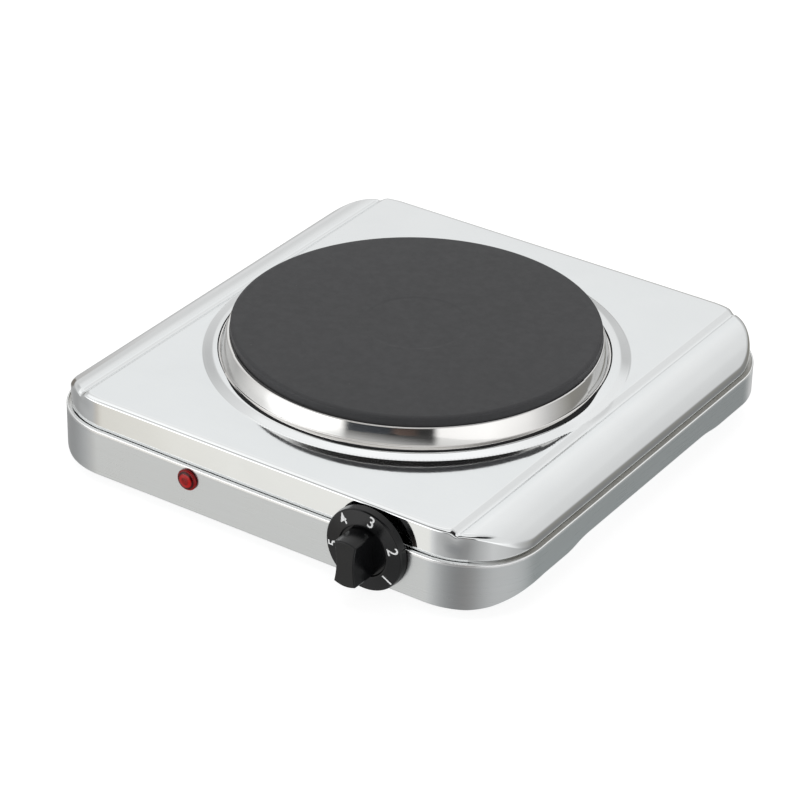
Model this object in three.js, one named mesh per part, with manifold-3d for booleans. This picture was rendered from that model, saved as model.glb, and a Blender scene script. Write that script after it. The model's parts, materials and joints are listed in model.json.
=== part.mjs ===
// Single-plate electric hob (solid cast-iron plate, 185 mm) in a two-part stainless housing.
// Millimetres, +Z up, front towards -Y. Z = 0 is the surface the feet stand on, and the origin is
// the middle of the whole object's footprint (knob in front, cord gland behind).

import * as THREE from 'three';
import { mergeVertices } from 'three/addons/utils/BufferGeometryUtils.js';
import Module from 'manifold-3d';

// ---------------------------------------------------------------- driving dimensions
const BODY_Y = 7;              // housing centre, behind the origin because the knob stands out in front

const SHEET = 1.0;             // sheet thickness of housing parts
const GAP = 0.3;               // clearance between touching pieces

// base shell
const SHELL_HALF = 133.85;     // half width and half depth, outside
const SHELL_R = 38.8;          // corner radius, outside
const SHELL_FRONT_Z = 5;       // lower edge of the front wall
const SHELL_SIDE_Z = 13;       // lower edge of the side walls
const SHELL_ARCH_Z = 15.2;     // lower edge in the middle of the side walls
const SHELL_TOP = 29.8;        // lip
const FLANGE_Z = 15.4;         // underside of the inward flange
const FLANGE_W = 10;

// bottom plate
const BOTTOM_HALF = 132.4;
const BOTTOM_Z = 14.1;

// top cover
const LID_HALF = 131.5;        // outside of the skirt
const LID_R = 36.5;
const LID_BEND = 2.2;          // bend between plateau and skirt
const LID_TOP = 45.3;          // plateau
const LID_SKIRT_Z = 26.8;      // lower edge of the skirt
const GROOVE_START = 103.0;    // inner slope begins
const GROOVE_X = 109.6;        // groove bottom
const GROOVE_Z = 42.0;
const GROOVE_END = 112.6;      // top of the short outer step
const WING_X = 111.5;          // centre of the wing's curve
const WING_R = 23;
const WING_TOP = 44.0;
const BEAD_TOP = 46.4;         // raised ring around the plate
const BEAD_IN = 98.2, BEAD_OUT = 107.5;
const COLLAR_R = 97.0;         // wall of the stepped seat
const SEAT_Z = 43.0;           // seat that the trim ring stands on
const SEAT_IN = 87;

// plate and trim ring
const PLATE_Y = BODY_Y - 0.9;
const PLATE_R = 92.5;
const PLATE_TOP = 60.7;
const PLATE_BOTTOM = 44.6;
const RECESS_R = 26;
const RECESS_DEPTH = 0.6;
const RING_IN = 92.8, RING_LIP = 56.0, RING_OUT = 96.6;

// control
const KNOB_X = 64.5, KNOB_Z = 24.0;
const KNOB_BACK = BODY_Y - 134.3;   // rear face of the knob
const KNOB_R = 21.4;                // at the rear edge, with a little draft forwards
const KNOB_EDGE = 4.1;              // thickness of the knob's skirt
const KNOB_HUB_R = 13.4;
const KNOB_LEN = 19.2;              // rear face to the front of the grip
const GRIP_HALF_W = 6.0, GRIP_HALF_H = 12.1, GRIP_WAIST = 1.1, GRIP_CROWN = 1.0;
const SHAFT_R = 3.0;
const THERMO_W = 34, THERMO_D = 24, THERMO_H = 20;
const THERMO_SCREW_X = 14;

// pilot lamp
const LAMP_X = -39.8, LAMP_Z = 22.4;
const LAMP_R = 5.5, LAMP_DOME = 2.45, LAMP_NECK_R = 4.0;

// cord gland
const GLAND_X = -72, GLAND_Z = 22.6;
const GLAND_FLANGE_R = 8, GLAND_NECK_R = 5.5, GLAND_BORE_R = 3.75, GLAND_OUT = 5.65;

// feet and fixings
const FOOT_X = 104, FOOT_Y = 94, FOOT_TOP_R = 11, FOOT_BOTTOM_R = 9;
const POST_X = 92, POST_Y = 112, POST_R = 4;
const SHELL_SCREW_X = 127.3, SHELL_SCREW_Y = 88;

const ROUND = 48;              // facets of the large round parts

// ---------------------------------------------------------------- helpers
const wasm = await Module();
wasm.setup();

function toSolid(geometry) {
  let g = geometry.index ? geometry.clone() : geometry.clone();
  for (const name of Object.keys(g.attributes)) if (name !== 'position') g.deleteAttribute(name);
  g = mergeVertices(g, 1e-4);
  const pos = new Float32Array(g.attributes.position.array);
  let tri = Array.from(g.index.array);
  let kept = [];
  for (let i = 0; i < tri.length; i += 3) {
    if (tri[i] !== tri[i + 1] && tri[i + 1] !== tri[i + 2] && tri[i] !== tri[i + 2]) kept.push(tri[i], tri[i + 1], tri[i + 2]);
  }
  tri = kept;
  let v6 = 0;
  for (let i = 0; i < tri.length; i += 3) {
    const [a, b, c] = [tri[i] * 3, tri[i + 1] * 3, tri[i + 2] * 3];
    v6 += pos[a] * (pos[b + 1] * pos[c + 2] - pos[b + 2] * pos[c + 1])
        - pos[a + 1] * (pos[b] * pos[c + 2] - pos[b + 2] * pos[c])
        + pos[a + 2] * (pos[b] * pos[c + 1] - pos[b + 1] * pos[c]);
  }
  if (v6 < 0) for (let i = 0; i < tri.length; i += 3) [tri[i + 1], tri[i + 2]] = [tri[i + 2], tri[i + 1]];
  return new wasm.Manifold(new wasm.Mesh({ numProp: 3, vertProperties: pos, triVerts: new Uint32Array(tri) }));
}

function toGeometry(solid) {
  const m = solid.getMesh();
  const g = new THREE.BufferGeometry();
  g.setAttribute('position', new THREE.BufferAttribute(new Float32Array(m.vertProperties), 3));
  g.setIndex(Array.from(m.triVerts));
  g.computeVertexNormals();
  return g;
}

const shapeOf = (pts) => new THREE.Shape(pts.map(([a, b]) => new THREE.Vector2(a, b)));

// outline in plan, extruded upwards
function prism(shape, z0, z1, curveSegments = 5) {
  const g = new THREE.ExtrudeGeometry(shape, { depth: z1 - z0, bevelEnabled: false, curveSegments });
  g.translate(0, 0, z0);
  return toSolid(g);
}
// outline in X and Z, extruded along Y
function alongY(pts, y0, y1) {
  const g = new THREE.ExtrudeGeometry(shapeOf(pts), { depth: y1 - y0, bevelEnabled: false });
  g.applyMatrix4(new THREE.Matrix4().makeBasis(new THREE.Vector3(1, 0, 0), new THREE.Vector3(0, 0, 1), new THREE.Vector3(0, -1, 0)));
  g.translate(0, y1, 0);
  return toSolid(g);
}
// outline in Y and Z, extruded along X
function alongX(pts, x0, x1) {
  const g = new THREE.ExtrudeGeometry(shapeOf(pts), { depth: x1 - x0, bevelEnabled: false });
  g.applyMatrix4(new THREE.Matrix4().makeBasis(new THREE.Vector3(0, 1, 0), new THREE.Vector3(0, 0, 1), new THREE.Vector3(1, 0, 0)));
  g.translate(x0, 0, 0);
  return toSolid(g);
}
// rounded square outline, centred on (0, y)
function roundedOutline(half, r, y = BODY_Y) {
  const s = new THREE.Shape();
  s.moveTo(-half + r, y - half);
  s.lineTo(half - r, y - half);
  s.absarc(half - r, y - half + r, r, -Math.PI / 2, 0, false);
  s.lineTo(half, y + half - r);
  s.absarc(half - r, y + half - r, r, 0, Math.PI / 2, false);
  s.lineTo(-half + r, y + half);
  s.absarc(-half + r, y + half - r, r, Math.PI / 2, Math.PI, false);
  s.lineTo(-half, y - half + r);
  s.absarc(-half + r, y - half + r, r, Math.PI, Math.PI * 1.5, false);
  return s;
}
// turned part about a vertical axis: profile of [radius, z] pairs, on the axis at both ends or closed
function turned(profile, x = 0, y = 0, segments = ROUND, closed = false) {
  const pts = profile.map(([r, z]) => new THREE.Vector2(r, z));
  if (closed) pts.push(pts[0].clone());
  const g = new THREE.LatheGeometry(pts, segments);
  g.rotateX(Math.PI / 2);
  g.translate(x, y, 0);
  return toSolid(g);
}
// turned part about an axis along Y: profile of [radius, y] pairs
function turnedY(profile, x, z, segments = 24, closed = false) {
  const pts = profile.map(([r, y]) => new THREE.Vector2(r, y));
  if (closed) pts.push(pts[0].clone());
  const g = new THREE.LatheGeometry(pts, segments);
  g.translate(x, 0, z);
  return toSolid(g);
}
function cylZ(r, z0, z1, x, y, segments = 16) {
  const g = new THREE.CylinderGeometry(r, r, z1 - z0, segments);
  g.rotateX(Math.PI / 2);
  g.translate(x, y, (z0 + z1) / 2);
  return toSolid(g);
}
function cylY(r, y0, y1, x, z, segments = 16) {
  const g = new THREE.CylinderGeometry(r, r, y1 - y0, segments);
  g.translate(x, (y0 + y1) / 2, z);
  return toSolid(g);
}
function box(x0, x1, y0, y1, z0, z1) {
  const g = new THREE.BoxGeometry(x1 - x0, y1 - y0, z1 - z0);
  g.translate((x0 + x1) / 2, (y0 + y1) / 2, (z0 + z1) / 2);
  return toSolid(g);
}
function hexNut(r, bore, z0, z1, x, y) {
  return cylZ(r, z0, z1, x, y, 6).subtract(cylZ(bore, z0 - 1, z1 + 1, x, y, 14));
}
// pan-head screw standing up: the head's underside at z, shank upwards
function screwUp(x, y, headR, headH, headTop, shankR, tip) {
  return turned([[0, headTop - headH], [headR * 0.72, headTop - headH], [headR, headTop - headH * 0.45], [headR, headTop],
    [shankR, headTop], [shankR, tip - 0.6], [shankR * 0.6, tip], [0, tip]], x, y, 10)
    .subtract(box(x - headR * 0.6, x + headR * 0.6, y - 0.4, y + 0.4, headTop - headH - 1, headTop - headH * 0.55));
}
function wire(points, r) {
  const curve = new THREE.CatmullRomCurve3(points.map((p) => new THREE.Vector3(...p)), false, 'centripetal');
  const steps = Math.min(60, Math.max(6, Math.round(curve.getLength() / (r * 7))));
  const section = new THREE.Shape();
  section.absarc(0, 0, r, 0, Math.PI * 2, false);
  return toSolid(new THREE.ExtrudeGeometry(section, { steps, extrudePath: curve, bevelEnabled: false, curveSegments: 3 }));
}

const COLOURS = {
  stainless: { color: 0xd9dadb, roughness: 0.12, metalness: 1.0 },
  stainless_skirt: { color: 0xc4c6c5, roughness: 0.28, metalness: 1.0 },
  cast_iron: { color: 0x4b4d4e, roughness: 0.7, metalness: 0.2 },
  chrome: { color: 0xe4e5e6, roughness: 0.06, metalness: 1.0 },
  black_plastic: { color: 0x1b1d1e, roughness: 0.35, metalness: 0.0 },
  lamp_red: { color: 0xb01012, roughness: 0.12, metalness: 0.0 },
  rubber: { color: 0x202122, roughness: 0.8, metalness: 0.0 },
  zinc_steel: { color: 0xb2b5b8, roughness: 0.35, metalness: 0.9 },
  galvanised: { color: 0x9fa3a6, roughness: 0.45, metalness: 0.8 },
  ceramic: { color: 0xe9e5da, roughness: 0.6, metalness: 0.0 },
  brass: { color: 0xc9a24a, roughness: 0.3, metalness: 1.0 },
  white_plastic: { color: 0xe6e4de, roughness: 0.5, metalness: 0.0 },
  wire_brown: { color: 0x5a3322, roughness: 0.6, metalness: 0.0 },
  wire_blue: { color: 0x2a4f8c, roughness: 0.6, metalness: 0.0 },
  wire_green: { color: 0x3f8a3d, roughness: 0.6, metalness: 0.0 },
};
const group = new THREE.Group();
group.name = 'hot_plate';
const sections = {};
for (const s of ['housing', 'plate_assembly', 'control', 'lamp', 'mains', 'fixings']) {
  sections[s] = new THREE.Group();
  group.add(sections[s]);
}
function add(section, name, solid, finish) {
  const mesh = new THREE.Mesh(toGeometry(solid), new THREE.MeshStandardMaterial({ ...COLOURS[finish] }));
  mesh.name = name;
  sections[section].add(mesh);
  return mesh;
}

// ---------------------------------------------------------------- base shell
{
  const h = SHELL_HALF, y0 = BODY_Y;
  let s = prism(roundedOutline(h, SHELL_R), SHELL_FRONT_Z, SHELL_TOP)
    .subtract(prism(roundedOutline(h - SHEET, SHELL_R - SHEET), SHELL_FRONT_Z - 1, SHELL_TOP + 1));
  const flange = prism(roundedOutline(h - SHEET / 2, SHELL_R - SHEET / 2), FLANGE_Z, FLANGE_Z + SHEET)
    .subtract(prism(roundedOutline(h - SHEET - FLANGE_W, SHELL_R - SHEET - FLANGE_W), FLANGE_Z - 1, FLANGE_Z + SHEET + 1));
  // side view of the lower edge: deep at the front, raised along the sides, a shallow arch in the middle
  const f = SHELL_FRONT_Z, sd = SHELL_SIDE_Z, ar = SHELL_ARCH_Z;
  const edge = [[-128.5, f], [-125, f + 0.7], [-121.5, f + 1.5], [-117.8, f + 2.7], [-113.6, f + 3.9], [-108.7, f + 5.3],
    [-102.9, f + 6.8], [-98, f + 7.6], [-93, sd], [-70, sd], [-65, sd + 0.7], [-60, sd + 1.7], [-55, ar], [55, ar],
    [60, sd + 1.9], [66, sd + 1.0], [72, sd + 0.6], [80, sd + 0.7], [140, sd + 0.7]];
  const cut = [[-140, f - 5], [-140, f - 0.001], ...edge, [140, f - 5]].map(([y, z]) => [y + y0, z]);
  s = s.subtract(alongX(cut, -150, 150)).add(flange);
  // openings for the shaft, its two screws, the lamp and the gland
  s = s.subtract(cylY(SHAFT_R + 0.7, y0 - h - 2, y0 - h + 3, KNOB_X, KNOB_Z, 20));
  for (const dx of [-THERMO_SCREW_X, THERMO_SCREW_X]) s = s.subtract(cylY(1.8, y0 - h - 2, y0 - h + 3, KNOB_X + dx, KNOB_Z, 10));
  s = s.subtract(cylY(LAMP_NECK_R + GAP, y0 - h - 2, y0 - h + 3, LAMP_X, LAMP_Z, 20));
  s = s.subtract(cylY(GLAND_NECK_R + GAP, y0 + h - 3, y0 + h + 2, GLAND_X, GLAND_Z, 20));
  s = s.subtract(box(GLAND_X - 10, GLAND_X + 10, y0 + h - SHEET - FLANGE_W - 1, y0 + h - SHEET - 0.01, FLANGE_Z - 1, FLANGE_Z + SHEET + 1));
  for (const sx of [-1, 1]) for (const sy of [-1, 1]) s = s.subtract(cylZ(1.8, FLANGE_Z - 1, FLANGE_Z + 3, sx * SHELL_SCREW_X, y0 + sy * SHELL_SCREW_Y, 10));
  add('housing', 'base_shell', s, 'stainless_skirt');
}

// ---------------------------------------------------------------- bottom plate
{
  const z0 = BOTTOM_Z, z1 = BOTTOM_Z + SHEET;
  let s = prism(roundedOutline(BOTTOM_HALF, SHELL_R - SHELL_HALF + BOTTOM_HALF), z0, z1, 4);
  for (const row of [-1, 1]) for (let i = -3; i <= 3; i++) {
    const cx = i * 11, cy = BODY_Y + row * 55, slot = new THREE.Shape();
    slot.absarc(cx, cy - 16, 2, Math.PI, 2 * Math.PI, false);
    slot.absarc(cx, cy + 16, 2, 0, Math.PI, false);
    s = s.subtract(prism(slot, z0 - 1, z1 + 1, 2));
  }
  for (const sx of [-1, 1]) for (const sy of [-1, 1]) {
    s = s.subtract(cylZ(2.2, z0 - 1, z1 + 1, sx * FOOT_X, BODY_Y + sy * FOOT_Y, 12));
    s = s.subtract(cylZ(1.8, z0 - 1, z1 + 1, sx * POST_X, BODY_Y + sy * POST_Y, 10));
    s = s.subtract(cylZ(1.8, z0 - 1, z1 + 1, sx * SHELL_SCREW_X, BODY_Y + sy * SHELL_SCREW_Y, 10));
  }
  s = s.subtract(cylZ(2.3, z0 - 1, z1 + 1, -36, BODY_Y + 112, 12));
  add('housing', 'bottom_plate', s, 'galvanised');
}

// ---------------------------------------------------------------- top cover
{
  const y0 = BODY_Y;
  const half = (drop, side) => {
    // right half of the section, from the middle outwards, offset inwards by drop and side
    const pts = [[GROOVE_START - 0.5, LID_TOP], [GROOVE_START + 0.7, LID_TOP - 0.15], [GROOVE_X - 0.8, GROOVE_Z + 0.25], [GROOVE_X, GROOVE_Z],
      [GROOVE_X + 0.9, GROOVE_Z + 0.4], [GROOVE_END - 0.5, WING_TOP - 0.25], [GROOVE_END + 0.2, WING_TOP]];
    const xe = LID_HALF - LID_BEND;
    for (const x of [116.5, 120.8, 124.3, 127.1, xe]) pts.push([x, WING_TOP - WING_R + Math.sqrt(WING_R ** 2 - (x - WING_X) ** 2)]);
    const slope = (xe - WING_X) / Math.sqrt(WING_R ** 2 - (xe - WING_X) ** 2);
    const ze = pts[pts.length - 1][1], zc = ze - slope * LID_BEND;
    for (const t of [0.5, 1]) {
      const a = (1 - t) * (1 - t), b = 2 * t * (1 - t), c = t * t;
      pts.push([a * xe + b * LID_HALF + c * LID_HALF, a * ze + b * zc + c * (zc - 1.4)]);
    }
    return pts.map(([x, z]) => [x - (x > 112.8 ? side * Math.min(1, (x - 112.8) / 16) : 0), z - drop]);
  };
  const section = (drop, side, zBottom) => {
    const r = half(drop, side);
    const edge = r[r.length - 1][0];
    return [[-edge, zBottom], ...r.slice().reverse().map(([x, z]) => [-x, z]), ...r, [edge, zBottom]];
  };
  const fore = (inset, drop, zBottom) => {
    const h = LID_HALF - inset, b = LID_BEND - inset * 0.5, top = LID_TOP + 5;
    const arc = [];
    for (const a of [0, 0.33, 0.67, 1]) arc.push([h - b + b * Math.sin(a * Math.PI / 2), LID_TOP - drop - b + b * Math.cos(a * Math.PI / 2)]);
    const pts = [[-h, zBottom], ...arc.slice().reverse().map(([y, z]) => [-y, z]), ...arc, [h, zBottom]];
    return pts.map(([y, z]) => [y + y0, z]);
  };
  const shell = (inset, drop, zBottom) => prism(roundedOutline(LID_HALF - inset, LID_R - inset), zBottom, LID_TOP + 2)
    .intersect(alongY(section(drop, inset, zBottom), y0 - LID_HALF - 5, y0 + LID_HALF + 5))
    .intersect(alongX(fore(inset, drop, zBottom), -LID_HALF - 5, LID_HALF + 5));
  let s = shell(0, 0, LID_SKIRT_Z).subtract(shell(SHEET, SHEET, LID_SKIRT_Z - 2));
  s = s.subtract(cylZ(106.2, LID_TOP - 6, LID_TOP + 6, 0, PLATE_Y, ROUND));
  // raised ring, collar and seat
  const b = BEAD_TOP, t = SHEET;
  let ring = turned([[SEAT_IN, SEAT_Z], [COLLAR_R, SEAT_Z], [COLLAR_R, b - 0.8], [BEAD_IN, b], [103.8, b],
    [105.9, b - 0.4], [BEAD_OUT + 0.2, LID_TOP - 0.05], [BEAD_OUT + 0.2, LID_TOP - t],
    [103.4, b - t], [COLLAR_R + t, b - t], [COLLAR_R + t, SEAT_Z - t], [SEAT_IN, SEAT_Z - t]],
  0, PLATE_Y, ROUND, true);
  // where the ring runs out into the grooves its outer edge turns down to meet them
  const hem = turned([[106.4, LID_TOP - 3.6], [BEAD_OUT + 0.2, LID_TOP - 3.6], [BEAD_OUT + 0.2, LID_TOP - 0.3], [106.4, LID_TOP - 0.3]], 0, PLATE_Y, ROUND, true)
    .intersect(box(102.6, 110, y0 - 60, y0 + 60, 38, 50).add(box(-110, -102.6, y0 - 60, y0 + 60, 38, 50)));
  s = s.add(ring).add(hem);
  // notches in the hidden lower edge of the skirt: thermostat at the front, gland behind
  s = s.subtract(box(KNOB_X - 20, KNOB_X + 20, y0 - LID_HALF - 1, y0 - LID_HALF + 2, LID_SKIRT_Z - 1, SHELL_TOP - 0.5));
  s = s.subtract(box(GLAND_X - 10, GLAND_X + 10, y0 + LID_HALF - 2, y0 + LID_HALF + 1, LID_SKIRT_Z - 1, SHELL_TOP - 0.3));
  add('housing', 'top_cover', s, 'stainless');
}

// ---------------------------------------------------------------- cooking plate and what holds it
add('plate_assembly', 'cast_iron_plate', turned([[0, PLATE_TOP - RECESS_DEPTH], [RECESS_R - 0.4, PLATE_TOP - RECESS_DEPTH], [RECESS_R + 0.3, PLATE_TOP],
  [PLATE_R - 2.2, PLATE_TOP], [PLATE_R - 0.9, PLATE_TOP - 0.5], [PLATE_R - 0.2, PLATE_TOP - 1.4], [PLATE_R, PLATE_TOP - 2.4], [PLATE_R, PLATE_BOTTOM],
  [84.5, PLATE_BOTTOM], [84.5, 53], [14, 53], [14, PLATE_BOTTOM], [SHAFT_R + GAP, PLATE_BOTTOM], [SHAFT_R + GAP, 54], [0, 54]], 0, PLATE_Y, ROUND), 'cast_iron');
add('plate_assembly', 'trim_ring', turned([[RING_IN, 55.5], [93.4, RING_LIP], [94.0, 55.5], [93.9, 54.6],
  [94.5, 50.6], [95.5, 47.3], [RING_OUT, 46.4], [RING_OUT, 44.2], [96.1, SEAT_Z + GAP],
  [88, SEAT_Z + GAP], [88, SEAT_Z + GAP + SHEET], [RING_IN, SEAT_Z + GAP + SHEET]], 0, PLATE_Y, ROUND, true), 'chrome');
add('plate_assembly', 'heating_ring_outer', turned([[58, 45.9], [84.1, 45.9], [84.1, 52.7], [58, 52.7]], 0, PLATE_Y, 28, true), 'ceramic');
add('plate_assembly', 'heating_ring_inner', turned([[18, 45.9], [54, 45.9], [54, 52.7], [18, 52.7]], 0, PLATE_Y, 24, true), 'ceramic');
add('plate_assembly', 'plate_back_cover', turned([[14.4, 44.7], [84.1, 44.7], [84.1, 45.6], [14.4, 45.6]], 0, PLATE_Y, 28, true), 'galvanised');
{
  const cy = PLATE_Y + 45;
  let blockSolid = box(-18, 18, cy - 8, cy + 8, 34.4, 44.4);
  add('plate_assembly', 'ceramic_terminal_block', blockSolid, 'ceramic');
  [['live', 9], ['neutral', -9], ['spare', 0]].forEach(([n, dx]) =>
    add('plate_assembly', `terminal_pin_${n}`, box(dx - 0.5, dx + 0.5, cy - 3, cy + 3, 27.5, 34.1), 'brass'));
}
add('plate_assembly', 'clamp_bar', box(-95, 95, PLATE_Y - 11, PLATE_Y + 11, 39.2, 41.7).subtract(cylZ(SHAFT_R + GAP, 38, 43, 0, PLATE_Y, 14)), 'zinc_steel');
add('plate_assembly', 'centre_stud', cylZ(SHAFT_R, 16.9, 53.7, 0, PLATE_Y, 14), 'zinc_steel');
add('plate_assembly', 'clamp_washer', turned([[SHAFT_R + GAP, 37.4], [9, 37.4], [9, 38.9], [SHAFT_R + GAP, 38.9]], 0, PLATE_Y, 20, true), 'zinc_steel');
add('plate_assembly', 'clamp_nut', hexNut(5.8, SHAFT_R + GAP, 32.0, 37.1, 0, PLATE_Y), 'zinc_steel');
add('plate_assembly', 'heat_shield', turned([[SHAFT_R + GAP, 22.7], [75, 22.7], [75, 27.2], [74.1, 27.2], [74.1, 23.6], [SHAFT_R + GAP, 23.6]], 0, PLATE_Y, 28, true), 'galvanised');
add('plate_assembly', 'shield_nut_upper', hexNut(5.8, SHAFT_R + GAP, 23.9, 28.9, 0, PLATE_Y), 'zinc_steel');
add('plate_assembly', 'shield_nut_lower', hexNut(5.8, SHAFT_R + GAP, 17.4, 22.4, 0, PLATE_Y), 'zinc_steel');

// ---------------------------------------------------------------- thermostat, shaft and knob
{
  const wallIn = BODY_Y - SHELL_HALF + SHEET;         // inner face of the front wall
  const front = BODY_Y - 129.5;
  let body = box(KNOB_X - THERMO_W / 2, KNOB_X + THERMO_W / 2, front, front + THERMO_D, KNOB_Z - 7.3, KNOB_Z - 7.3 + THERMO_H)
    .add(cylY(4.8, wallIn + 1.75, front + 1, KNOB_X, KNOB_Z, 20))
    .subtract(cylY(SHAFT_R + GAP, wallIn, front + 14, KNOB_X, KNOB_Z, 20));
  add('control', 'thermostat_body', body, 'ceramic');
  let bracket = box(KNOB_X - 18.5, KNOB_X + 18.5, wallIn + GAP, wallIn + GAP + 1.15, FLANGE_Z + SHEET + 0.6, SHELL_TOP - 1.0)
    .subtract(cylY(SHAFT_R + 0.5, wallIn - 1, wallIn + 3, KNOB_X, KNOB_Z, 20));
  for (const dx of [-THERMO_SCREW_X, THERMO_SCREW_X]) bracket = bracket.subtract(cylY(1.8, wallIn - 1, wallIn + 3, KNOB_X + dx, KNOB_Z, 10));
  add('control', 'thermostat_bracket', bracket, 'zinc_steel');
  const wallOut = BODY_Y - SHELL_HALF;
  for (const [n, dx] of [['left', -THERMO_SCREW_X], ['right', THERMO_SCREW_X]]) {
    add('control', `thermostat_screw_${n}`, turnedY([[0, wallOut - 1.5], [2.0, wallOut - 1.5], [2.8, wallOut - 0.9], [2.8, wallOut - GAP],
      [1.5, wallOut - GAP], [1.5, front - 0.5], [0, front - 0.5]], KNOB_X + dx, KNOB_Z, 12), 'zinc_steel');
  }
  add('control', 'thermostat_shaft', cylY(SHAFT_R, KNOB_BACK - KNOB_LEN + 5.0, front + 13.6, KNOB_X, KNOB_Z, 20), 'zinc_steel');

  const at = (h) => KNOB_BACK - h;                    // h is the distance in front of the knob's rear face
  let knob = turnedY([[0, at(1)], [7, at(1)], [7, at(2.6)], [19.4, at(2.6)], [19.4, at(0)], [KNOB_R, at(0)], [KNOB_R - 0.3, at(KNOB_EDGE - 0.8)],
    [KNOB_R - 0.9, at(KNOB_EDGE)], [14.0, at(5.1)], [KNOB_HUB_R - 0.2, at(4.9)], [12.7, at(4.0)], [0, at(4.0)]], KNOB_X, KNOB_Z, 36);
  const w = GRIP_HALF_W, hh = GRIP_HALF_H - GRIP_CROWN, q = 0.8;
  const outline = new THREE.Shape();
  outline.moveTo(-w + q, -hh);
  outline.quadraticCurveTo(0, -hh - 2 * GRIP_CROWN, w - q, -hh);
  outline.quadraticCurveTo(w, -hh, w, -hh + q);
  outline.quadraticCurveTo(w - 2 * GRIP_WAIST, 0, w, hh - q);
  outline.quadraticCurveTo(w, hh, w - q, hh);
  outline.quadraticCurveTo(0, hh + 2 * GRIP_CROWN, -w + q, hh);
  outline.quadraticCurveTo(-w, hh, -w, hh - q);
  outline.quadraticCurveTo(-w + 2 * GRIP_WAIST, 0, -w, -hh + q);
  outline.quadraticCurveTo(-w, -hh, -w + q, -hh);
  const g = new THREE.ExtrudeGeometry(outline, { depth: KNOB_LEN - 3.0 - 0.6, bevelEnabled: true, bevelThickness: 0.6, bevelSize: 0.6, bevelOffset: -0.6, bevelSegments: 1, curveSegments: 4 });
  g.applyMatrix4(new THREE.Matrix4().makeBasis(new THREE.Vector3(1, 0, 0), new THREE.Vector3(0, 0, 1), new THREE.Vector3(0, -1, 0)));
  g.translate(KNOB_X, at(3.0), KNOB_Z);
  knob = knob.add(toSolid(g).intersect(box(KNOB_X - 20, KNOB_X + 20, at(KNOB_LEN + 1), at(2.9), KNOB_Z - 20, KNOB_Z + 20)));
  knob = knob.subtract(cylY(SHAFT_R + GAP, at(KNOB_LEN - 4.7), at(0) + 2, KNOB_X, KNOB_Z, 20));
  add('control', 'control_knob', knob, 'black_plastic');
}

// ---------------------------------------------------------------- pilot lamp
{
  const w = BODY_Y - SHELL_HALF;
  const y = (d) => w - GAP - d;
  add('lamp', 'pilot_lamp_lens', turnedY([[0, y(LAMP_DOME)], [2.2, y(LAMP_DOME - 0.1)], [3.6, y(LAMP_DOME - 0.35)], [4.6, y(LAMP_DOME - 0.8)], [5.2, y(LAMP_DOME - 1.4)],
    [LAMP_R, y(0.6)], [LAMP_R, y(0)], [LAMP_NECK_R, y(0)], [LAMP_NECK_R, w + 4.85], [0, w + 4.85]], LAMP_X, LAMP_Z, 18), 'lamp_red');
  add('lamp', 'pilot_lamp_clip', turnedY([[LAMP_NECK_R + GAP, w + 1.3], [5.8, w + 1.3], [5.8, w + 2.05], [LAMP_NECK_R + GAP, w + 2.05]], LAMP_X, LAMP_Z, 20, true), 'zinc_steel');
  add('lamp', 'pilot_lamp_body', cylY(3.9, w + 5.15, w + 21.8, LAMP_X, LAMP_Z, 20), 'white_plastic');
}

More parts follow.
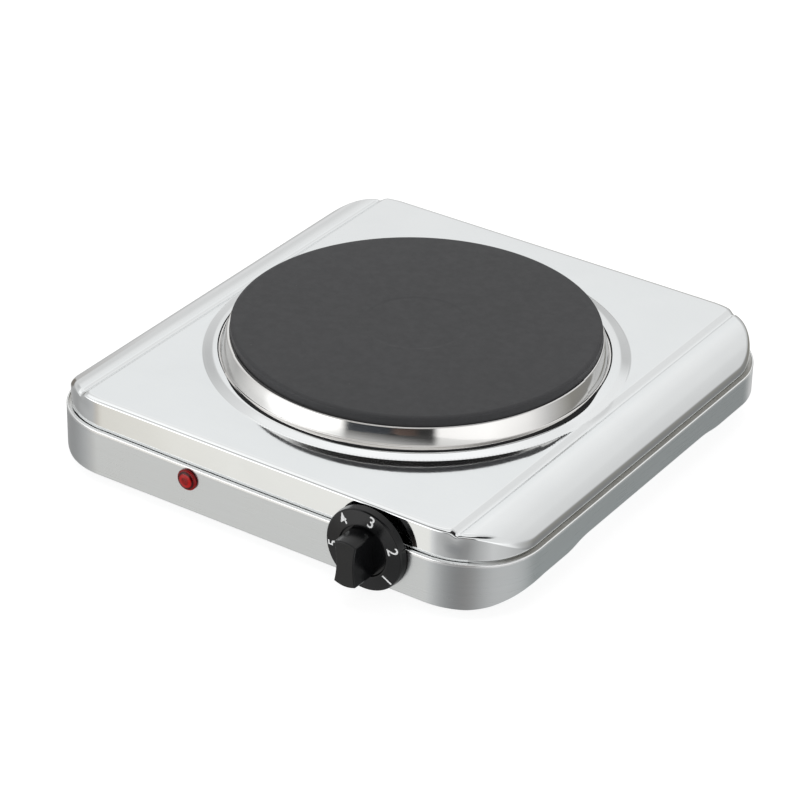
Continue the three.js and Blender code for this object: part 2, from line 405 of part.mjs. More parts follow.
// ---------------------------------------------------------------- mains inlet and wiring
{
  const w = BODY_Y + SHELL_HALF;
  const gland = turnedY([[GLAND_BORE_R, w - 9.8], [GLAND_NECK_R, w - 9.8], [GLAND_NECK_R, w + GAP], [GLAND_FLANGE_R, w + GAP], [GLAND_FLANGE_R, w + 2.6],
    [GLAND_FLANGE_R - 1.6, w + GLAND_OUT], [GLAND_BORE_R + 0.4, w + GLAND_OUT], [GLAND_BORE_R, w + GLAND_OUT - 0.5]], GLAND_X, GLAND_Z, 18, true);
  add('mains', 'cord_gland', gland, 'black_plastic');
  const hex = new THREE.CylinderGeometry(7.4, 7.4, 4, 6);
  hex.rotateY(Math.PI / 6);
  hex.translate(GLAND_X, w - SHEET - GAP - 2, GLAND_Z);
  add('mains', 'gland_nut', toSolid(hex).subtract(cylY(GLAND_NECK_R + GAP, w - 8, w, GLAND_X, GLAND_Z, 20)), 'black_plastic');

  const bt = BOTTOM_Z + SHEET + GAP;
  const by = BODY_Y + 98;
  let block = box(GLAND_X - 16, GLAND_X + 16, by - 8, by + 8, bt, bt + 13);
  for (const dx of [-10, 0, 10]) block = block.subtract(cylZ(2.4, bt + 8, bt + 15, GLAND_X + dx, by, 12));
  add('mains', 'mains_terminal_block', block, 'white_plastic');
  add('mains', 'earth_screw', turned([[0, 12.2], [1.9, 12.2], [1.9, bt], [4, bt], [4, bt + 2], [0, bt + 2]], -36, BODY_Y + 112, 12), 'brass');

  const r = 1.3, cy = PLATE_Y + 45;
  add('mains', 'lead_live', wire([[-62, by - 8.7, 21], [-62, by - 14, 21], [-70, by - 28, 20], [-88, 48, 20], [-92, 0, 20], [-82, -50, 20], [-40, -84, 20], [30, -86, 21], [56, -88, 22], [58, -92, 23], [58, -96.7, 23]], r), 'wire_brown');
  add('mains', 'lead_switched', wire([[72, -96.7, 30], [72, -92, 30], [86, -76, 31], [98, -10, 31], [80, 48, 31], [44, 64, 31], [18, 58, 31], [11.4, cy + 4, 31], [11.4, cy, 31]], r), 'wire_brown');
  add('mains', 'lead_neutral', wire([[-75, by - 8.7, 21], [-75, by - 13, 21], [-70, 84, 25], [-56, 72, 31], [-30, 63, 31], [-16, 58, 31], [-11.4, cy + 4, 31], [-11.4, cy, 31]], r), 'wire_blue');
  add('mains', 'lead_lamp_live', wire([[LAMP_X + 2, BODY_Y - 111.7, 24], [LAMP_X + 2, BODY_Y - 107, 24.5], [-26, -96, 27], [4, -98, 29], [34, -110, 30], [42, -112, 30], [KNOB_X - THERMO_W / 2 - 0.5, -112, 30]], 1.0), 'wire_brown');
  add('mains', 'lead_lamp_neutral', wire([[LAMP_X - 2, BODY_Y - 111.7, 21.5], [LAMP_X - 2, BODY_Y - 107, 21.5], [-56, -92, 22], [-96, -58, 23], [-110, 0, 23], [-108, 60, 23], [-99, by - 8, 24], [-94, by - 2, 24], [-88.5, by - 2, 24]], 1.0), 'wire_blue');
  add('mains', 'lead_earth', wire([[-55.6, by + 2, 21], [-51, by + 2, 21.5], [-42, by + 8, 22], [-36, BODY_Y + 111, 21], [-36, BODY_Y + 112, 18.0]], 1.3), 'wire_green');
}

// ---------------------------------------------------------------- feet and fixings
for (const [ny, sy] of [['front', -1], ['rear', 1]]) for (const [nx, sx] of [['left', -1], ['right', 1]]) {
  const id = `${ny}_${nx}`;
  const fx = sx * FOOT_X, fy = BODY_Y + sy * FOOT_Y;
  add('fixings', `foot_${id}`, turned([[4.6, 0], [FOOT_BOTTOM_R - 0.8, 0], [FOOT_BOTTOM_R, 0.8], [FOOT_TOP_R, BOTTOM_Z - GAP],
    [2.2, BOTTOM_Z - GAP], [2.2, 5], [4.6, 5]], fx, fy, 16, true), 'rubber');
  add('fixings', `foot_screw_${id}`, screwUp(fx, fy, 3.8, 2.2, 4.7, 1.9, 19), 'zinc_steel');
  const px = sx * POST_X, py = BODY_Y + sy * POST_Y;
  add('fixings', `cover_post_${id}`, cylZ(POST_R, BOTTOM_Z + SHEET + GAP, LID_TOP - SHEET - GAP, px, py, 6).subtract(cylZ(1.8, BOTTOM_Z, 26, px, py, 10)), 'zinc_steel');
  add('fixings', `cover_screw_${id}`, screwUp(px, py, 3.4, 1.9, BOTTOM_Z - GAP, 1.5, 25), 'zinc_steel');
  add('fixings', `shell_screw_${id}`, screwUp(sx * SHELL_SCREW_X, BODY_Y + sy * SHELL_SCREW_Y, 3.2, 1.8, BOTTOM_Z - GAP, 1.5, 21), 'zinc_steel');
}

export default group;
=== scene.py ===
import json
import math

import bpy
import numpy as np
from mathutils import Matrix, Vector
from mathutils.geometry import delaunay_2d_cdt


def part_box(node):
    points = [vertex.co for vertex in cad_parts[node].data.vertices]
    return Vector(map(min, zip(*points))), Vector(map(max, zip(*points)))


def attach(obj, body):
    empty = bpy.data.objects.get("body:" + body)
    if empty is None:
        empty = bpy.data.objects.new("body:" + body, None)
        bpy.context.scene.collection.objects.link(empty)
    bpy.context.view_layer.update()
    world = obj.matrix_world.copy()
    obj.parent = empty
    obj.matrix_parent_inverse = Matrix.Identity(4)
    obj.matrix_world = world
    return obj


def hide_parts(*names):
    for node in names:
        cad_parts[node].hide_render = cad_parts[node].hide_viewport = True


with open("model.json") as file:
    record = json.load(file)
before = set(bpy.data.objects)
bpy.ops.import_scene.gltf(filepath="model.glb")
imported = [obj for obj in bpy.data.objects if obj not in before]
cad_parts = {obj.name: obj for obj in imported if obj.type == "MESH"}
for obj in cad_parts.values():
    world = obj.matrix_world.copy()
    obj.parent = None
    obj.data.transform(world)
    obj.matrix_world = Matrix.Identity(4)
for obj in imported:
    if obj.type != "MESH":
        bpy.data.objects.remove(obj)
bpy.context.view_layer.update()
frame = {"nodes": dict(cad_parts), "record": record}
MM = 0.001
scene = bpy.context.scene
NODES = frame["nodes"]


# ------------------------------------------------------------------ sizes, millimetres
def mid(node):
    lo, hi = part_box(node)
    return (lo + hi) / 2 / MM


def lo_hi(node):
    lo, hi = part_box(node)
    return lo / MM, hi / MM


BODY_Y = mid("base_shell").y                 # housing centre
SHELL_H = lo_hi("base_shell")[1].x           # half width of the base shell
SHELL_R = 38.8
SHELL_TOP = lo_hi("base_shell")[1].z
LID_H = lo_hi("top_cover")[1].x
LID_R = 36.5
LID_TOP = 45.3
BEAD_TOP = lo_hi("top_cover")[1].z
SKIRT_Z = lo_hi("top_cover")[0].z
PLATE_Y = mid("cast_iron_plate").y
PLATE_R = lo_hi("cast_iron_plate")[1].x
PLATE_TOP = lo_hi("cast_iron_plate")[1].z
PLATE_DX, PLATE_DY = 0.1, 0.5                # the plate sits a little off centre in the pressing
KNOB_X, KNOB_Z = mid("control_knob").x, mid("control_knob").z
KNOB_BACK = lo_hi("control_knob")[1].y       # rear face of the knob
LAMP_X, LAMP_Z = mid("pilot_lamp_lens").x, mid("pilot_lamp_lens").z
GLAND_X, GLAND_Z = mid("cord_gland").x, mid("cord_gland").z
WALL_F = BODY_Y - SHELL_H                    # outer face of the front wall
WALL_B = BODY_Y + SHELL_H


# ------------------------------------------------------------------ mesh helpers
def signed_volume(v, faces):
    total = 0.0
    for f in faces:
        a = v[f[0]]
        for i in range(1, len(f) - 1):
            total += float(np.dot(a, np.cross(v[f[i]], v[f[i + 1]])))
    return total / 6.0


class Build:
    """Vertices in millimetres, faces, and one normal per face corner."""

    def __init__(self):
        self.v, self.f, self.n, self.m = [], [], [], []

    def add(self, pts):
        s = len(self.v)
        self.v.extend([tuple(map(float, p)) for p in pts])
        return list(range(s, s + len(pts)))

    def face(self, idx, normals, mat=0):
        keep = [i for i in range(len(idx)) if idx[i] != idx[i - 1]]
        if len(keep) < 3:
            return
        self.f.append([idx[i] for i in keep])
        self.n.append([tuple(map(float, normals[i])) for i in keep])
        self.m.append(mat)

    def grid(self, ids, n0, n1=None, close=True, mat=0):
        """ids[row][col]; n0[row][col] normals at the row's start side, n1 at its end side. Rows i, i+1 make a strip."""
        n1 = n0 if n1 is None else n1
        rows = len(ids)
        for i in range(rows - 1):
            a, b = ids[i], ids[i + 1]
            cols = len(a)
            for j in range(cols if close else cols - 1):
                k = (j + 1) % cols
                m = mat[i] if isinstance(mat, (list, tuple)) else mat
                self.face([a[j], a[k], b[k], b[j]], [n0[i][j], n0[i][k], n1[i + 1][k], n1[i + 1][j]], m)

    def finish(self, name, mats, body="root", replaces=(), slot=None, flip=False):
        v = np.array(self.v)
        f, n = self.f, self.n
        if flip:
            f = [list(reversed(x)) for x in f]
            n = [list(reversed(x)) for x in n]
        me = bpy.data.meshes.new(name)
        me.from_pydata([tuple(p) for p in v * MM], [], f)
        me.update()
        me.polygons.foreach_set("use_smooth", [True] * len(me.polygons))
        me.polygons.foreach_set("material_index", self.m)
        flat = [Vector(x).normalized() for face in n for x in face]
        me.normals_split_custom_set(flat)
        me.update()
        ob = bpy.data.objects.new(name, me)
        scene.collection.objects.link(ob)
        for m in mats if isinstance(mats, (list, tuple)) else [mats]:
            me.materials.append(m)
        place(ob, body, replaces, slot)
        return ob


def place(ob, body, replaces=(), slot=None):
    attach(ob, body)
    if replaces:
        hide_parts(*replaces)


def plain_mesh(name, v, f, angle=32):
    """A mesh object in millimetres with normals split at sharp edges."""
    me = bpy.data.meshes.new(name)
    me.from_pydata([tuple(p) for p in np.array(v, float) * MM], [], f)
    me.update()
    me.polygons.foreach_set("use_smooth", [True] * len(me.polygons))
    me.set_sharp_from_angle(angle=math.radians(angle))
    ob = bpy.data.objects.new(name, me)
    scene.collection.objects.link(ob)
    return ob


def boolean(ob, cutter, operation="DIFFERENCE", remove=True):
    mod = ob.modifiers.new("cut", "BOOLEAN")
    mod.operation = operation
    mod.solver = "EXACT"
    mod.object = cutter
    dg = bpy.context.evaluated_depsgraph_get()
    me = bpy.data.meshes.new_from_object(ob.evaluated_get(dg), depsgraph=dg)
    ob.modifiers.clear()
    old = ob.data
    ob.data = me
    bpy.data.meshes.remove(old)
    if remove:
        bpy.data.objects.remove(cutter)
    return ob


def smooth_sharp(ob, angle=32, weighted=True):
    me = ob.data
    me.polygons.foreach_set("use_smooth", [True] * len(me.polygons))
    me.set_sharp_from_angle(angle=math.radians(angle))
    me.update()
    if weighted:
        mod = ob.modifiers.new("wn", "WEIGHTED_NORMAL")
        mod.keep_sharp = True
        mod.weight = 50
        dg = bpy.context.evaluated_depsgraph_get()
        new = bpy.data.meshes.new_from_object(ob.evaluated_get(dg), depsgraph=dg)
        ob.modifiers.clear()
        old = ob.data
        ob.data = new
        bpy.data.meshes.remove(old)


def unit(a):
    a = np.asarray(a, float)
    n = np.linalg.norm(a, axis=-1, keepdims=True)
    return a / np.where(n < 1e-12, 1, n)


# ---- profiles in a plane: corners with fillet radii become runs of points with exact normals
def fillet(points, closed=False, step=9.0, count=0):
    """points: (a, b, radius). Returns a list of (a, b, n_in, n_out), n being the normal to the right of the travel."""
    pts = [np.array(p[:2], float) for p in points]
    rad = [p[2] if len(p) > 2 else 0.0 for p in points]
    k = len(pts)
    out = []
    for i in range(k):
        p = pts[i]
        if not closed and i in (0, k - 1):
            q = pts[1] if i == 0 else pts[k - 2]
            d = unit(q - p) if i == 0 else unit(p - q)
            nn = np.array([d[1], -d[0]])
            out.append((p, nn, nn))
            continue
        a, c = pts[i - 1], pts[(i + 1) % k]
        d0, d1 = unit(p - a), unit(c - p)
        n0, n1 = np.array([d0[1], -d0[0]]), np.array([d1[1], -d1[0]])
        turn = math.atan2(d0[0] * d1[1] - d0[1] * d1[0], float(np.dot(d0, d1)))
        r = rad[i]
        if r <= 0 or abs(turn) < 1e-3:
            if abs(turn) < math.radians(3):
                m = unit(n0 + n1)
                out.append((p, m, m))
            else:
                out.append((p, n0, n1))
            continue
        t = r * math.tan(abs(turn) / 2)
        room = min(np.linalg.norm(p - a), np.linalg.norm(c - p)) * 0.499 if r < 900 else 1e9
        if t > room:
            r *= room / t
            t = room
        s = math.copysign(1.0, turn)
        centre = p - d0 * t - n0 * s * r
        steps = count or max(2, int(math.ceil(abs(math.degrees(turn)) / step)))
        for j in range(steps + 1):
            w = turn * j / steps
            cw, sw = math.cos(w), math.sin(w)
            m = np.array([n0[0] * cw - n0[1] * sw, n0[0] * sw + n0[1] * cw])
            out.append((centre + m * s * r, m, m))
    return out


def lathe(build, prof, at, seg, closed=False, mat=0, wobble=None):
    """Turns prof (from fillet) about an axis. at(r, h, angle) gives the point and at.n(nr, nh, angle) the normal."""
    ang = [2 * math.pi * j / seg for j in range(seg)]
    ids, n_in, n_out = [], [], []
    for p, ni, no in prof:
        r, h = p
        if r < 1e-6:
            row = build.add([at(0.0, h, 0.0)]) * seg
        else:
            row = build.add([at(r, h, a) for a in ang])
        ids.append(row)
        n_in.append([at_n(at, ni[0], ni[1], a) for a in ang])
        n_out.append([at_n(at, no[0], no[1], a) for a in ang])
    rows = list(range(len(ids)))
    pairs = list(zip(rows[:-1], rows[1:])) + ([(rows[-1], 0)] if closed else [])
    for i, j in pairs:
        m = mat[i] if isinstance(mat, (list, tuple)) else mat
        for c in range(seg):
            d = (c + 1) % seg
            build.face([ids[i][c], ids[i][d], ids[j][d], ids[j][c]], [n_out[i][c], n_out[i][d], n_in[j][d], n_in[j][c]], m)


def at_n(at, nr, nh, a):
    o = np.array(at(0.0, 0.0, 0.0))
    p = np.array(at(1000.0 * nr if nr >= 0 else -1000.0 * nr, 0.0, a if nr >= 0 else a + math.pi)) - o
    q = np.array(at(0.0, 1000.0 * nh, 0.0)) - o
    return (p + q) / 1000.0


def vertical(x, y):
    return lambda r, h, a: (x + r * math.cos(a), y + r * math.sin(a), h)


def forward(x, z, y0):
    """h grows towards the front (-Y)."""
    return lambda r, h, a: (x + r * math.cos(a), y0 - h, z + r * math.sin(a))


def backward(x, z, y0):
    return lambda r, h, a: (x + r * math.cos(a), y0 + h, z + r * math.sin(a))


def rounded_outline(half, r, cy, step=2.5, arc=24, extra=()):
    """Points and outward normals round a rounded square, anticlockwise seen from above, starting at the front left."""
    pts, nrm = [], []
    q = half - r

    def side(p0, p1, n, cuts):
        d = np.array(p1) - np.array(p0)
        L = np.linalg.norm(d)
        ts = sorted(set([round(t, 4) for t in np.linspace(0, 1, max(2, int(L / step)) + 1)[:-1]] + [round(c, 5) for c in cuts if 0 < c < 1]))
        keep = [ts[0]]
        for t in ts[1:]:
            if (t - keep[-1]) * L > 0.15 and (1 - t) * L > 0.15:
                keep.append(t)
        for t in keep:
            pts.append(np.array(p0) + d * t)
            nrm.append(np.array(n))

    def corner(cx, cyy, a0):
        for j in range(arc):
            a = math.radians(a0 + 90.0 * j / arc)
            pts.append(np.array([cx + r * math.cos(a), cyy + r * math.sin(a)]))
            nrm.append(np.array([math.cos(a), math.sin(a)]))

    cx_cuts = [(e + q) / (2 * q) for e in extra]
    side((-q, cy - half), (q, cy - half), (0, -1), cx_cuts)
    corner(q, cy - q, -90)
    side((half, cy - q), (half, cy + q), (1, 0), [])
    corner(q, cy + q, 0)
    side((q, cy + half), (-q, cy + half), (0, 1), [1 - c for c in cx_cuts])
    corner(-q, cy + q, 90)
    side((-half, cy + q), (-half, cy - q), (-1, 0), [])
    corner(-q, cy - q, 180)
    return np.array(pts), np.array(nrm)


# ------------------------------------------------------------------ materials
class Mat:
    """A small writer for node materials."""

    def __init__(self, name):
        self.m = bpy.data.materials.new(name)
        self.m.use_nodes = True
        self.t = self.m.node_tree
        self.b = self.t.nodes["Principled BSDF"]
        self.coord = self.t.nodes.new("ShaderNodeTexCoord")

    def new(self, kind, **props):
        n = self.t.nodes.new(kind)
        for k, v in props.items():
            setattr(n, k, v)
        return n

    def link(self, a, b):
        self.t.links.new(a, b)

    def map(self, scale=(1, 1, 1), rot=(0, 0, 0), loc=(0, 0, 0)):
        n = self.new("ShaderNodeMapping")
        n.inputs["Scale"].default_value = scale
        n.inputs["Rotation"].default_value = rot
        n.inputs["Location"].default_value = loc
        self.link(self.coord.outputs["Object"], n.inputs["Vector"])
        return n.outputs["Vector"]

    def noise(self, vec, scale, detail=4.0, rough=0.55, dist=0.0):
        n = self.new("ShaderNodeTexNoise")
        n.inputs["Scale"].default_value = scale
        n.inputs["Detail"].default_value = detail
        n.inputs["Roughness"].default_value = rough
        n.inputs["Distortion"].default_value = dist
        self.link(vec, n.inputs["Vector"])
        return n.outputs["Fac"]

    def voronoi(self, vec, scale, feature="F1", out="Distance", rnd=1.0):
        n = self.new("ShaderNodeTexVoronoi", feature=feature)
        n.inputs["Scale"].default_value = scale
        n.inputs["Randomness"].default_value = rnd
        self.link(vec, n.inputs["Vector"])
        return n.outputs[out]

    def ramp(self, fac, stops, interp="LINEAR"):
        n = self.new("ShaderNodeValToRGB")
        n.color_ramp.interpolation = interp
        e = n.color_ramp.elements
        while len(e) > 1:
            e.remove(e[-1])
        e[0].position = stops[0][0]
        e[0].color = rgba(stops[0][1])
        for p, c in stops[1:]:
            x = e.new(p)
            x.color = rgba(c)
        self.link(fac, n.inputs["Fac"])
        return n.outputs["Color"]

    def range(self, fac, a, b, c, d, smooth=False):
        n = self.new("ShaderNodeMapRange")
        if smooth:
            n.interpolation_type = "SMOOTHSTEP"
        for k, v in (("From Min", a), ("From Max", b), ("To Min", c), ("To Max", d)):
            n.inputs[k].default_value = v
        self.link(fac, n.inputs["Value"])
        return n.outputs["Result"]

    def math(self, op, a, b=None, clamp=False):
        n = self.new("ShaderNodeMath", operation=op, use_clamp=clamp)
        for i, x in enumerate((a, b)):
            if x is None:
                continue
            if isinstance(x, (int, float)):
                n.inputs[i].default_value = x
            else:
                self.link(x, n.inputs[i])
        return n.outputs[0]

    def mix(self, fac, a, b, blend="MIX"):
        n = self.new("ShaderNodeMix", data_type="RGBA", blend_type=blend)
        for s, x in ((n.inputs[0], fac), (n.inputs[6], a), (n.inputs[7], b)):
            if isinstance(x, (int, float)):
                s.default_value = x
            elif isinstance(x, (tuple, list)):
                s.default_value = rgba(x)
            else:
                self.link(x, s)
        return n.outputs[2]

    def bump(self, *layers):
        """layers: (height, strength, distance in metres), the first is lowest."""
        last = None
        for h, s, d in layers:
            n = self.new("ShaderNodeBump")
            n.inputs["Strength"].default_value = s
            n.inputs["Distance"].default_value = d
            self.link(h, n.inputs["Height"])
            if last is not None:
                self.link(last, n.inputs["Normal"])
            last = n.outputs["Normal"]
        self.link(last, self.b.inputs["Normal"])

    def xyz(self, vec=None):
        n = self.new("ShaderNodeSeparateXYZ")
        self.link(vec if vec is not None else self.coord.outputs["Object"], n.inputs[0])
        return n.outputs

    def set(self, **kw):
        names = {"color": "Base Color", "rough": "Roughness", "metal": "Metallic", "ior": "IOR", "coat": "Coat Weight",
                 "coat_rough": "Coat Roughness", "spec": "Specular IOR Level", "trans": "Transmission Weight",
                 "sss": "Subsurface Weight", "aniso": "Anisotropic", "sheen": "Sheen Weight"}
        for k, v in kw.items():
            s = self.b.inputs[names[k]]
            if isinstance(v, (int, float)):
                s.default_value = v
            elif isinstance(v, (tuple, list)):
                s.default_value = rgba(v)
            else:
                self.link(v, s)
        return self


def rgba(c):
    if isinstance(c, (int, float)):
        c = (c, c, c)
    return tuple(c) + (1.0,) if len(c) == 3 else tuple(c)


def polished_steel():
    """Bright rolled stainless: fine rolling lines along X, faint smears and sheet waviness."""
    m = Mat("polished_stainless")
    lines = m.noise(m.map((60, 2600, 2600)), 1.0, 3.0, 0.6)
    smear = m.noise(m.map((1, 1, 1)), 26.0, 5.0, 0.6, 0.6)
    fine = m.noise(m.map((1, 1, 1)), 420.0, 2.0, 0.5)
    rough = m.math("ADD", m.range(lines, 0.3, 0.7, 0.045, 0.075), m.range(smear, 0.35, 0.75, 0.0, 0.03))
    col = m.mix(m.range(smear, 0.3, 0.7, 0.0, 1.0), (0.815, 0.83, 0.832), (0.79, 0.806, 0.81))
    col = m.mix(m.range(lines, 0.35, 0.65, 0.0, 0.35), col, (0.84, 0.855, 0.858))
    wave = m.noise(m.map((1, 1, 1)), 21.0, 1.0, 0.4)
    m.bump((wave, 1.0, 0.00007), (lines, 0.12, 0.00002), (fine, 0.05, 0.00001))
    m.set(color=col, rough=rough, metal=1.0)
    return m.m


def brushed_steel():
    """Matt stainless of the base, brushed along the wall."""
    m = Mat("brushed_stainless")
    x = m.noise(m.map((40, 40, 5200)), 1.0, 4.0, 0.65)
    soft = m.noise(m.map((6, 6, 240)), 1.0, 3.0, 0.5)
    blot = m.noise(m.map((1, 1, 1)), 34.0, 4.0, 0.6)
    rough = m.math("ADD", m.range(x, 0.3, 0.7, 0.25, 0.33), m.range(blot, 0.35, 0.7, 0.0, 0.03))
    col = m.mix(m.range(x, 0.3, 0.7, 0.0, 1.0), (0.60, 0.62, 0.625), (0.655, 0.672, 0.678))
    col = m.mix(m.range(soft, 0.35, 0.65, 0.0, 0.5), col, (0.62, 0.635, 0.635))
    m.bump((x, 0.10, 0.00002),)
    m.set(color=col, rough=rough, metal=1.0)
    return m.m


def ledge_steel_painted_shade():
    """Unpolished strip in the channel beside the cover; its brown-grey colour is painted shade for the gap under the
    cover, which the polished skirt reflects.
    """
    m = Mat("ledge_stainless_painted_shade")
    x = m.noise(m.map((60, 60, 3000)), 1.0, 4.0, 0.6)
    d = m.noise(m.map((1, 1, 1)), 70.0, 4.0, 0.6)
    # painted shade: these brown-grey tones stand in for the gap's shade, with darker spots at random
    col = m.mix(m.range(x, 0.3, 0.7, 0.0, 1.0), (0.37, 0.362, 0.335), (0.45, 0.442, 0.415))
    col = m.mix(m.range(d, 0.4, 0.7, 0.0, 0.6), col, (0.32, 0.30, 0.265))
    # painted shade by |x|: pale steel towards the corners, the shaded brown-grey on the sides
    px = m.xyz()[0]
    col = m.mix(m.range(m.math("MULTIPLY", px, px), 0.0143, 0.0171, 0.0, 1.0), (0.78, 0.785, 0.78), col)
    m.set(color=col, rough=m.range(x, 0.3, 0.7, 0.45, 0.6), metal=1.0)
    m.bump((x, 0.15, 0.00002),)
    return m.m


# Ground sheet edge of the shell's rim: its light colour is partly bare ground steel and partly a painted highlight.
def edge_steel_painted_highlight():
    m = Mat("ground_edge_painted_highlight")
    x = m.noise(m.map((500, 500, 900)), 1.0, 3.0, 0.6)
    m.set(color=m.mix(m.range(x, 0.3, 0.7, 0, 1), (0.86, 0.87, 0.87), (0.94, 0.945, 0.94)), rough=m.range(x, 0.3, 0.7, 0.16, 0.26), metal=1.0)
    m.bump((x, 0.1, 0.00002),)
    return m.m


def chrome():
    """Bright trim ring: turned lines round its axis and a slight warmth."""
    m = Mat("bright_trim")
    s = m.xyz()
    dx, dy = s[0], m.math("SUBTRACT", s[1], PLATE_Y * MM)
    rr = m.math("SQRT", m.math("ADD", m.math("MULTIPLY", dx, dx), m.math("MULTIPLY", dy, dy)))
    comb = m.new("ShaderNodeCombineXYZ")
    m.link(m.math("MULTIPLY", rr, 1.0), comb.inputs[0])
    m.link(s[2], comb.inputs[1])
    n = m.new("ShaderNodeTexNoise")
    n.inputs["Scale"].default_value = 4200.0
    n.inputs["Detail"].default_value = 2.0
    m.link(comb.outputs[0], n.inputs["Vector"])
    turn = n.outputs["Fac"]
    heat = m.noise(m.map((1, 1, 1)), 16.0, 3.0, 0.5)
    fine = m.noise(m.map((1, 1, 1)), 700.0, 3.0, 0.6)
    col = m.mix(m.range(heat, 0.35, 0.7, 0.0, 1.0), (0.80, 0.795, 0.785), (0.77, 0.755, 0.735))
    rough = m.math("ADD", m.range(turn, 0.3, 0.7, 0.05, 0.09), m.range(fine, 0.5, 0.75, 0.0, 0.05))
    m.bump((turn, 0.1, 0.00001), (fine, 0.05, 0.00001))
    m.set(color=col, rough=rough, metal=1.0)
    return m.m


def cast_iron():
    """Coated cast iron: fine sandy grain, faint turned rings, a few pits and pale specks."""
    m = Mat("coated_cast_iron")
    v = m.map((1, 1, 1))
    grain = m.noise(v, 1500.0, 4.0, 0.7)
    mott = m.noise(v, 240.0, 4.0, 0.6)
    cloud = m.noise(v, 14.0, 4.0, 0.55)
    s = m.xyz()
    dy = m.math("SUBTRACT", s[1], PLATE_Y * MM)
    rr = m.math("SQRT", m.math("ADD", m.math("MULTIPLY", s[0], s[0]), m.math("MULTIPLY", dy, dy)))
    comb = m.new("ShaderNodeCombineXYZ")
    m.link(rr, comb.inputs[0])
    n = m.new("ShaderNodeTexNoise")
    n.inputs["Scale"].default_value = 900.0
    n.inputs["Detail"].default_value = 2.0
    m.link(comb.outputs[0], n.inputs["Vector"])
    rings = n.outputs["Fac"]
    col = m.mix(m.range(grain, 0.35, 0.65, 0.0, 1.0), (0.0342, 0.0344, 0.0372), (0.050, 0.0502, 0.0538))
    col = m.mix(m.range(cloud, 0.35, 0.65, 0.0, 0.4), col, (0.036, 0.037, 0.0382))
    pit = m.voronoi(v, 130.0)
    speck = m.range(m.voronoi(m.map((1, 1, 1), loc=(0.31, 0.12, 0.2)), 190.0), 0.03, 0.075, 1.0, 0.0)
    rare = m.range(m.noise(m.map((1, 1, 1), loc=(0.5, 0.1, 0)), 60.0, 1.0), 0.64, 0.68, 0.0, 1.0)
    col = m.mix(m.math("MULTIPLY", m.math("MULTIPLY", speck, rare), 0.45), col, (0.16, 0.16, 0.155))
    rough = m.math("ADD", m.range(grain, 0.3, 0.7, 0.46, 0.60), m.range(mott, 0.35, 0.65, -0.03, 0.04))
    holes = m.range(pit, 0.02, 0.07, 0.0, 1.0)
    m.bump((rings, 0.10, 0.00006), (mott, 0.12, 0.00010), (grain, 0.30, 0.00008), (holes, 0.10, 0.0001))
    m.set(color=col, rough=rough, metal=0.0, ior=1.44)
    return m.m


def black_plastic():
    m = Mat("moulded_black_plastic")
    v = m.map((1, 1, 1))
    grain = m.noise(v, 2600.0, 3.0, 0.6)
    flow = m.noise(v, 90.0, 4.0, 0.6)
    col = m.mix(m.range(flow, 0.3, 0.7, 0.0, 1.0), (0.0028, 0.0030, 0.0034), (0.0046, 0.0049, 0.0054))
    rough = m.math("ADD", m.range(grain, 0.3, 0.7, 0.17, 0.24), m.range(flow, 0.35, 0.7, 0.0, 0.04))
    m.bump((grain, 0.10, 0.00002),)
    m.set(color=col, rough=rough, metal=0.0, ior=1.38)
    return m.m


def digit_white():
    m = Mat("printed_white")
    v = m.map((1, 1, 1))
    n = m.noise(v, 1800.0, 3.0, 0.7)
    m.set(color=m.mix(m.range(n, 0.3, 0.6, 0.0, 1.0), (0.70, 0.71, 0.71), (0.84, 0.85, 0.85)), rough=m.range(n, 0.3, 0.7, 0.4, 0.6), metal=0.0)
    m.bump((n, 0.1, 0.00002),)
    return m.m


def lamp_red():
    """Red lens: by radius, a deeper red middle, a clearer red ring, a dark ring near the dome's edge and a mid red rim.
    """
    m = Mat("red_lens")
    v = m.map((1, 1, 1))
    sep = m.new("ShaderNodeSeparateXYZ")
    m.link(v, sep.inputs[0])
    dx = m.math("SUBTRACT", sep.outputs[0], LAMP_X / 1000.0)
    dz = m.math("SUBTRACT", sep.outputs[2], LAMP_Z / 1000.0)
    r = m.math("SQRT", m.math("ADD", m.math("MULTIPLY", dx, dx), m.math("MULTIPLY", dz, dz)))
    n = m.noise(v, 420.0, 3.0, 0.6)
    col = m.mix(m.range(n, 0.35, 0.65, 0.0, 1.0), (0.30, 0.001, 0.002), (0.15, 0.0005, 0.001))
    col = m.mix(m.range(r, 0.0018, 0.0024, 0.0, 0.8), col, (0.52, 0.006, 0.005))
    col = m.mix(m.range(r, 0.0032, 0.0039, 0.0, 1.0), col, (0.045, 0.0005, 0.001))
    col = m.mix(m.range(r, 0.0045, 0.0048, 0.0, 1.0), col, (0.26, 0.001, 0.002))
    m.set(color=col, rough=m.range(n, 0.3, 0.7, 0.06, 0.12), metal=0.0, ior=1.32, trans=0.15)
    m.bump((m.noise(v, 900.0, 2.0), 0.06, 0.00002),)
    return m.m


def rubber():
    m = Mat("black_rubber")
    v = m.map((1, 1, 1))
    n = m.noise(v, 900.0, 4.0, 0.65)
    d = m.noise(v, 60.0, 4.0, 0.6)
    col = m.mix(m.range(d, 0.35, 0.7, 0.0, 1.0), (0.016, 0.016, 0.017), (0.034, 0.034, 0.034))
    m.set(color=col, rough=m.range(n, 0.3, 0.7, 0.62, 0.82), metal=0.0)
    m.bump((n, 0.25, 0.00006),)
    return m.m


def zinc():
    m = Mat("zinc_plated_steel")
    v = m.map((1, 1, 1))
    n = m.noise(v, 700.0, 4.0, 0.6)
    c = m.noise(v, 70.0, 3.0, 0.6)
    col = m.mix(m.range(c, 0.3, 0.7, 0.0, 1.0), (0.60, 0.62, 0.66), (0.70, 0.70, 0.68))
    m.set(color=col, rough=m.range(n, 0.3, 0.7, 0.26, 0.42), metal=1.0)
    m.bump((n, 0.15, 0.00003),)
    return m.m


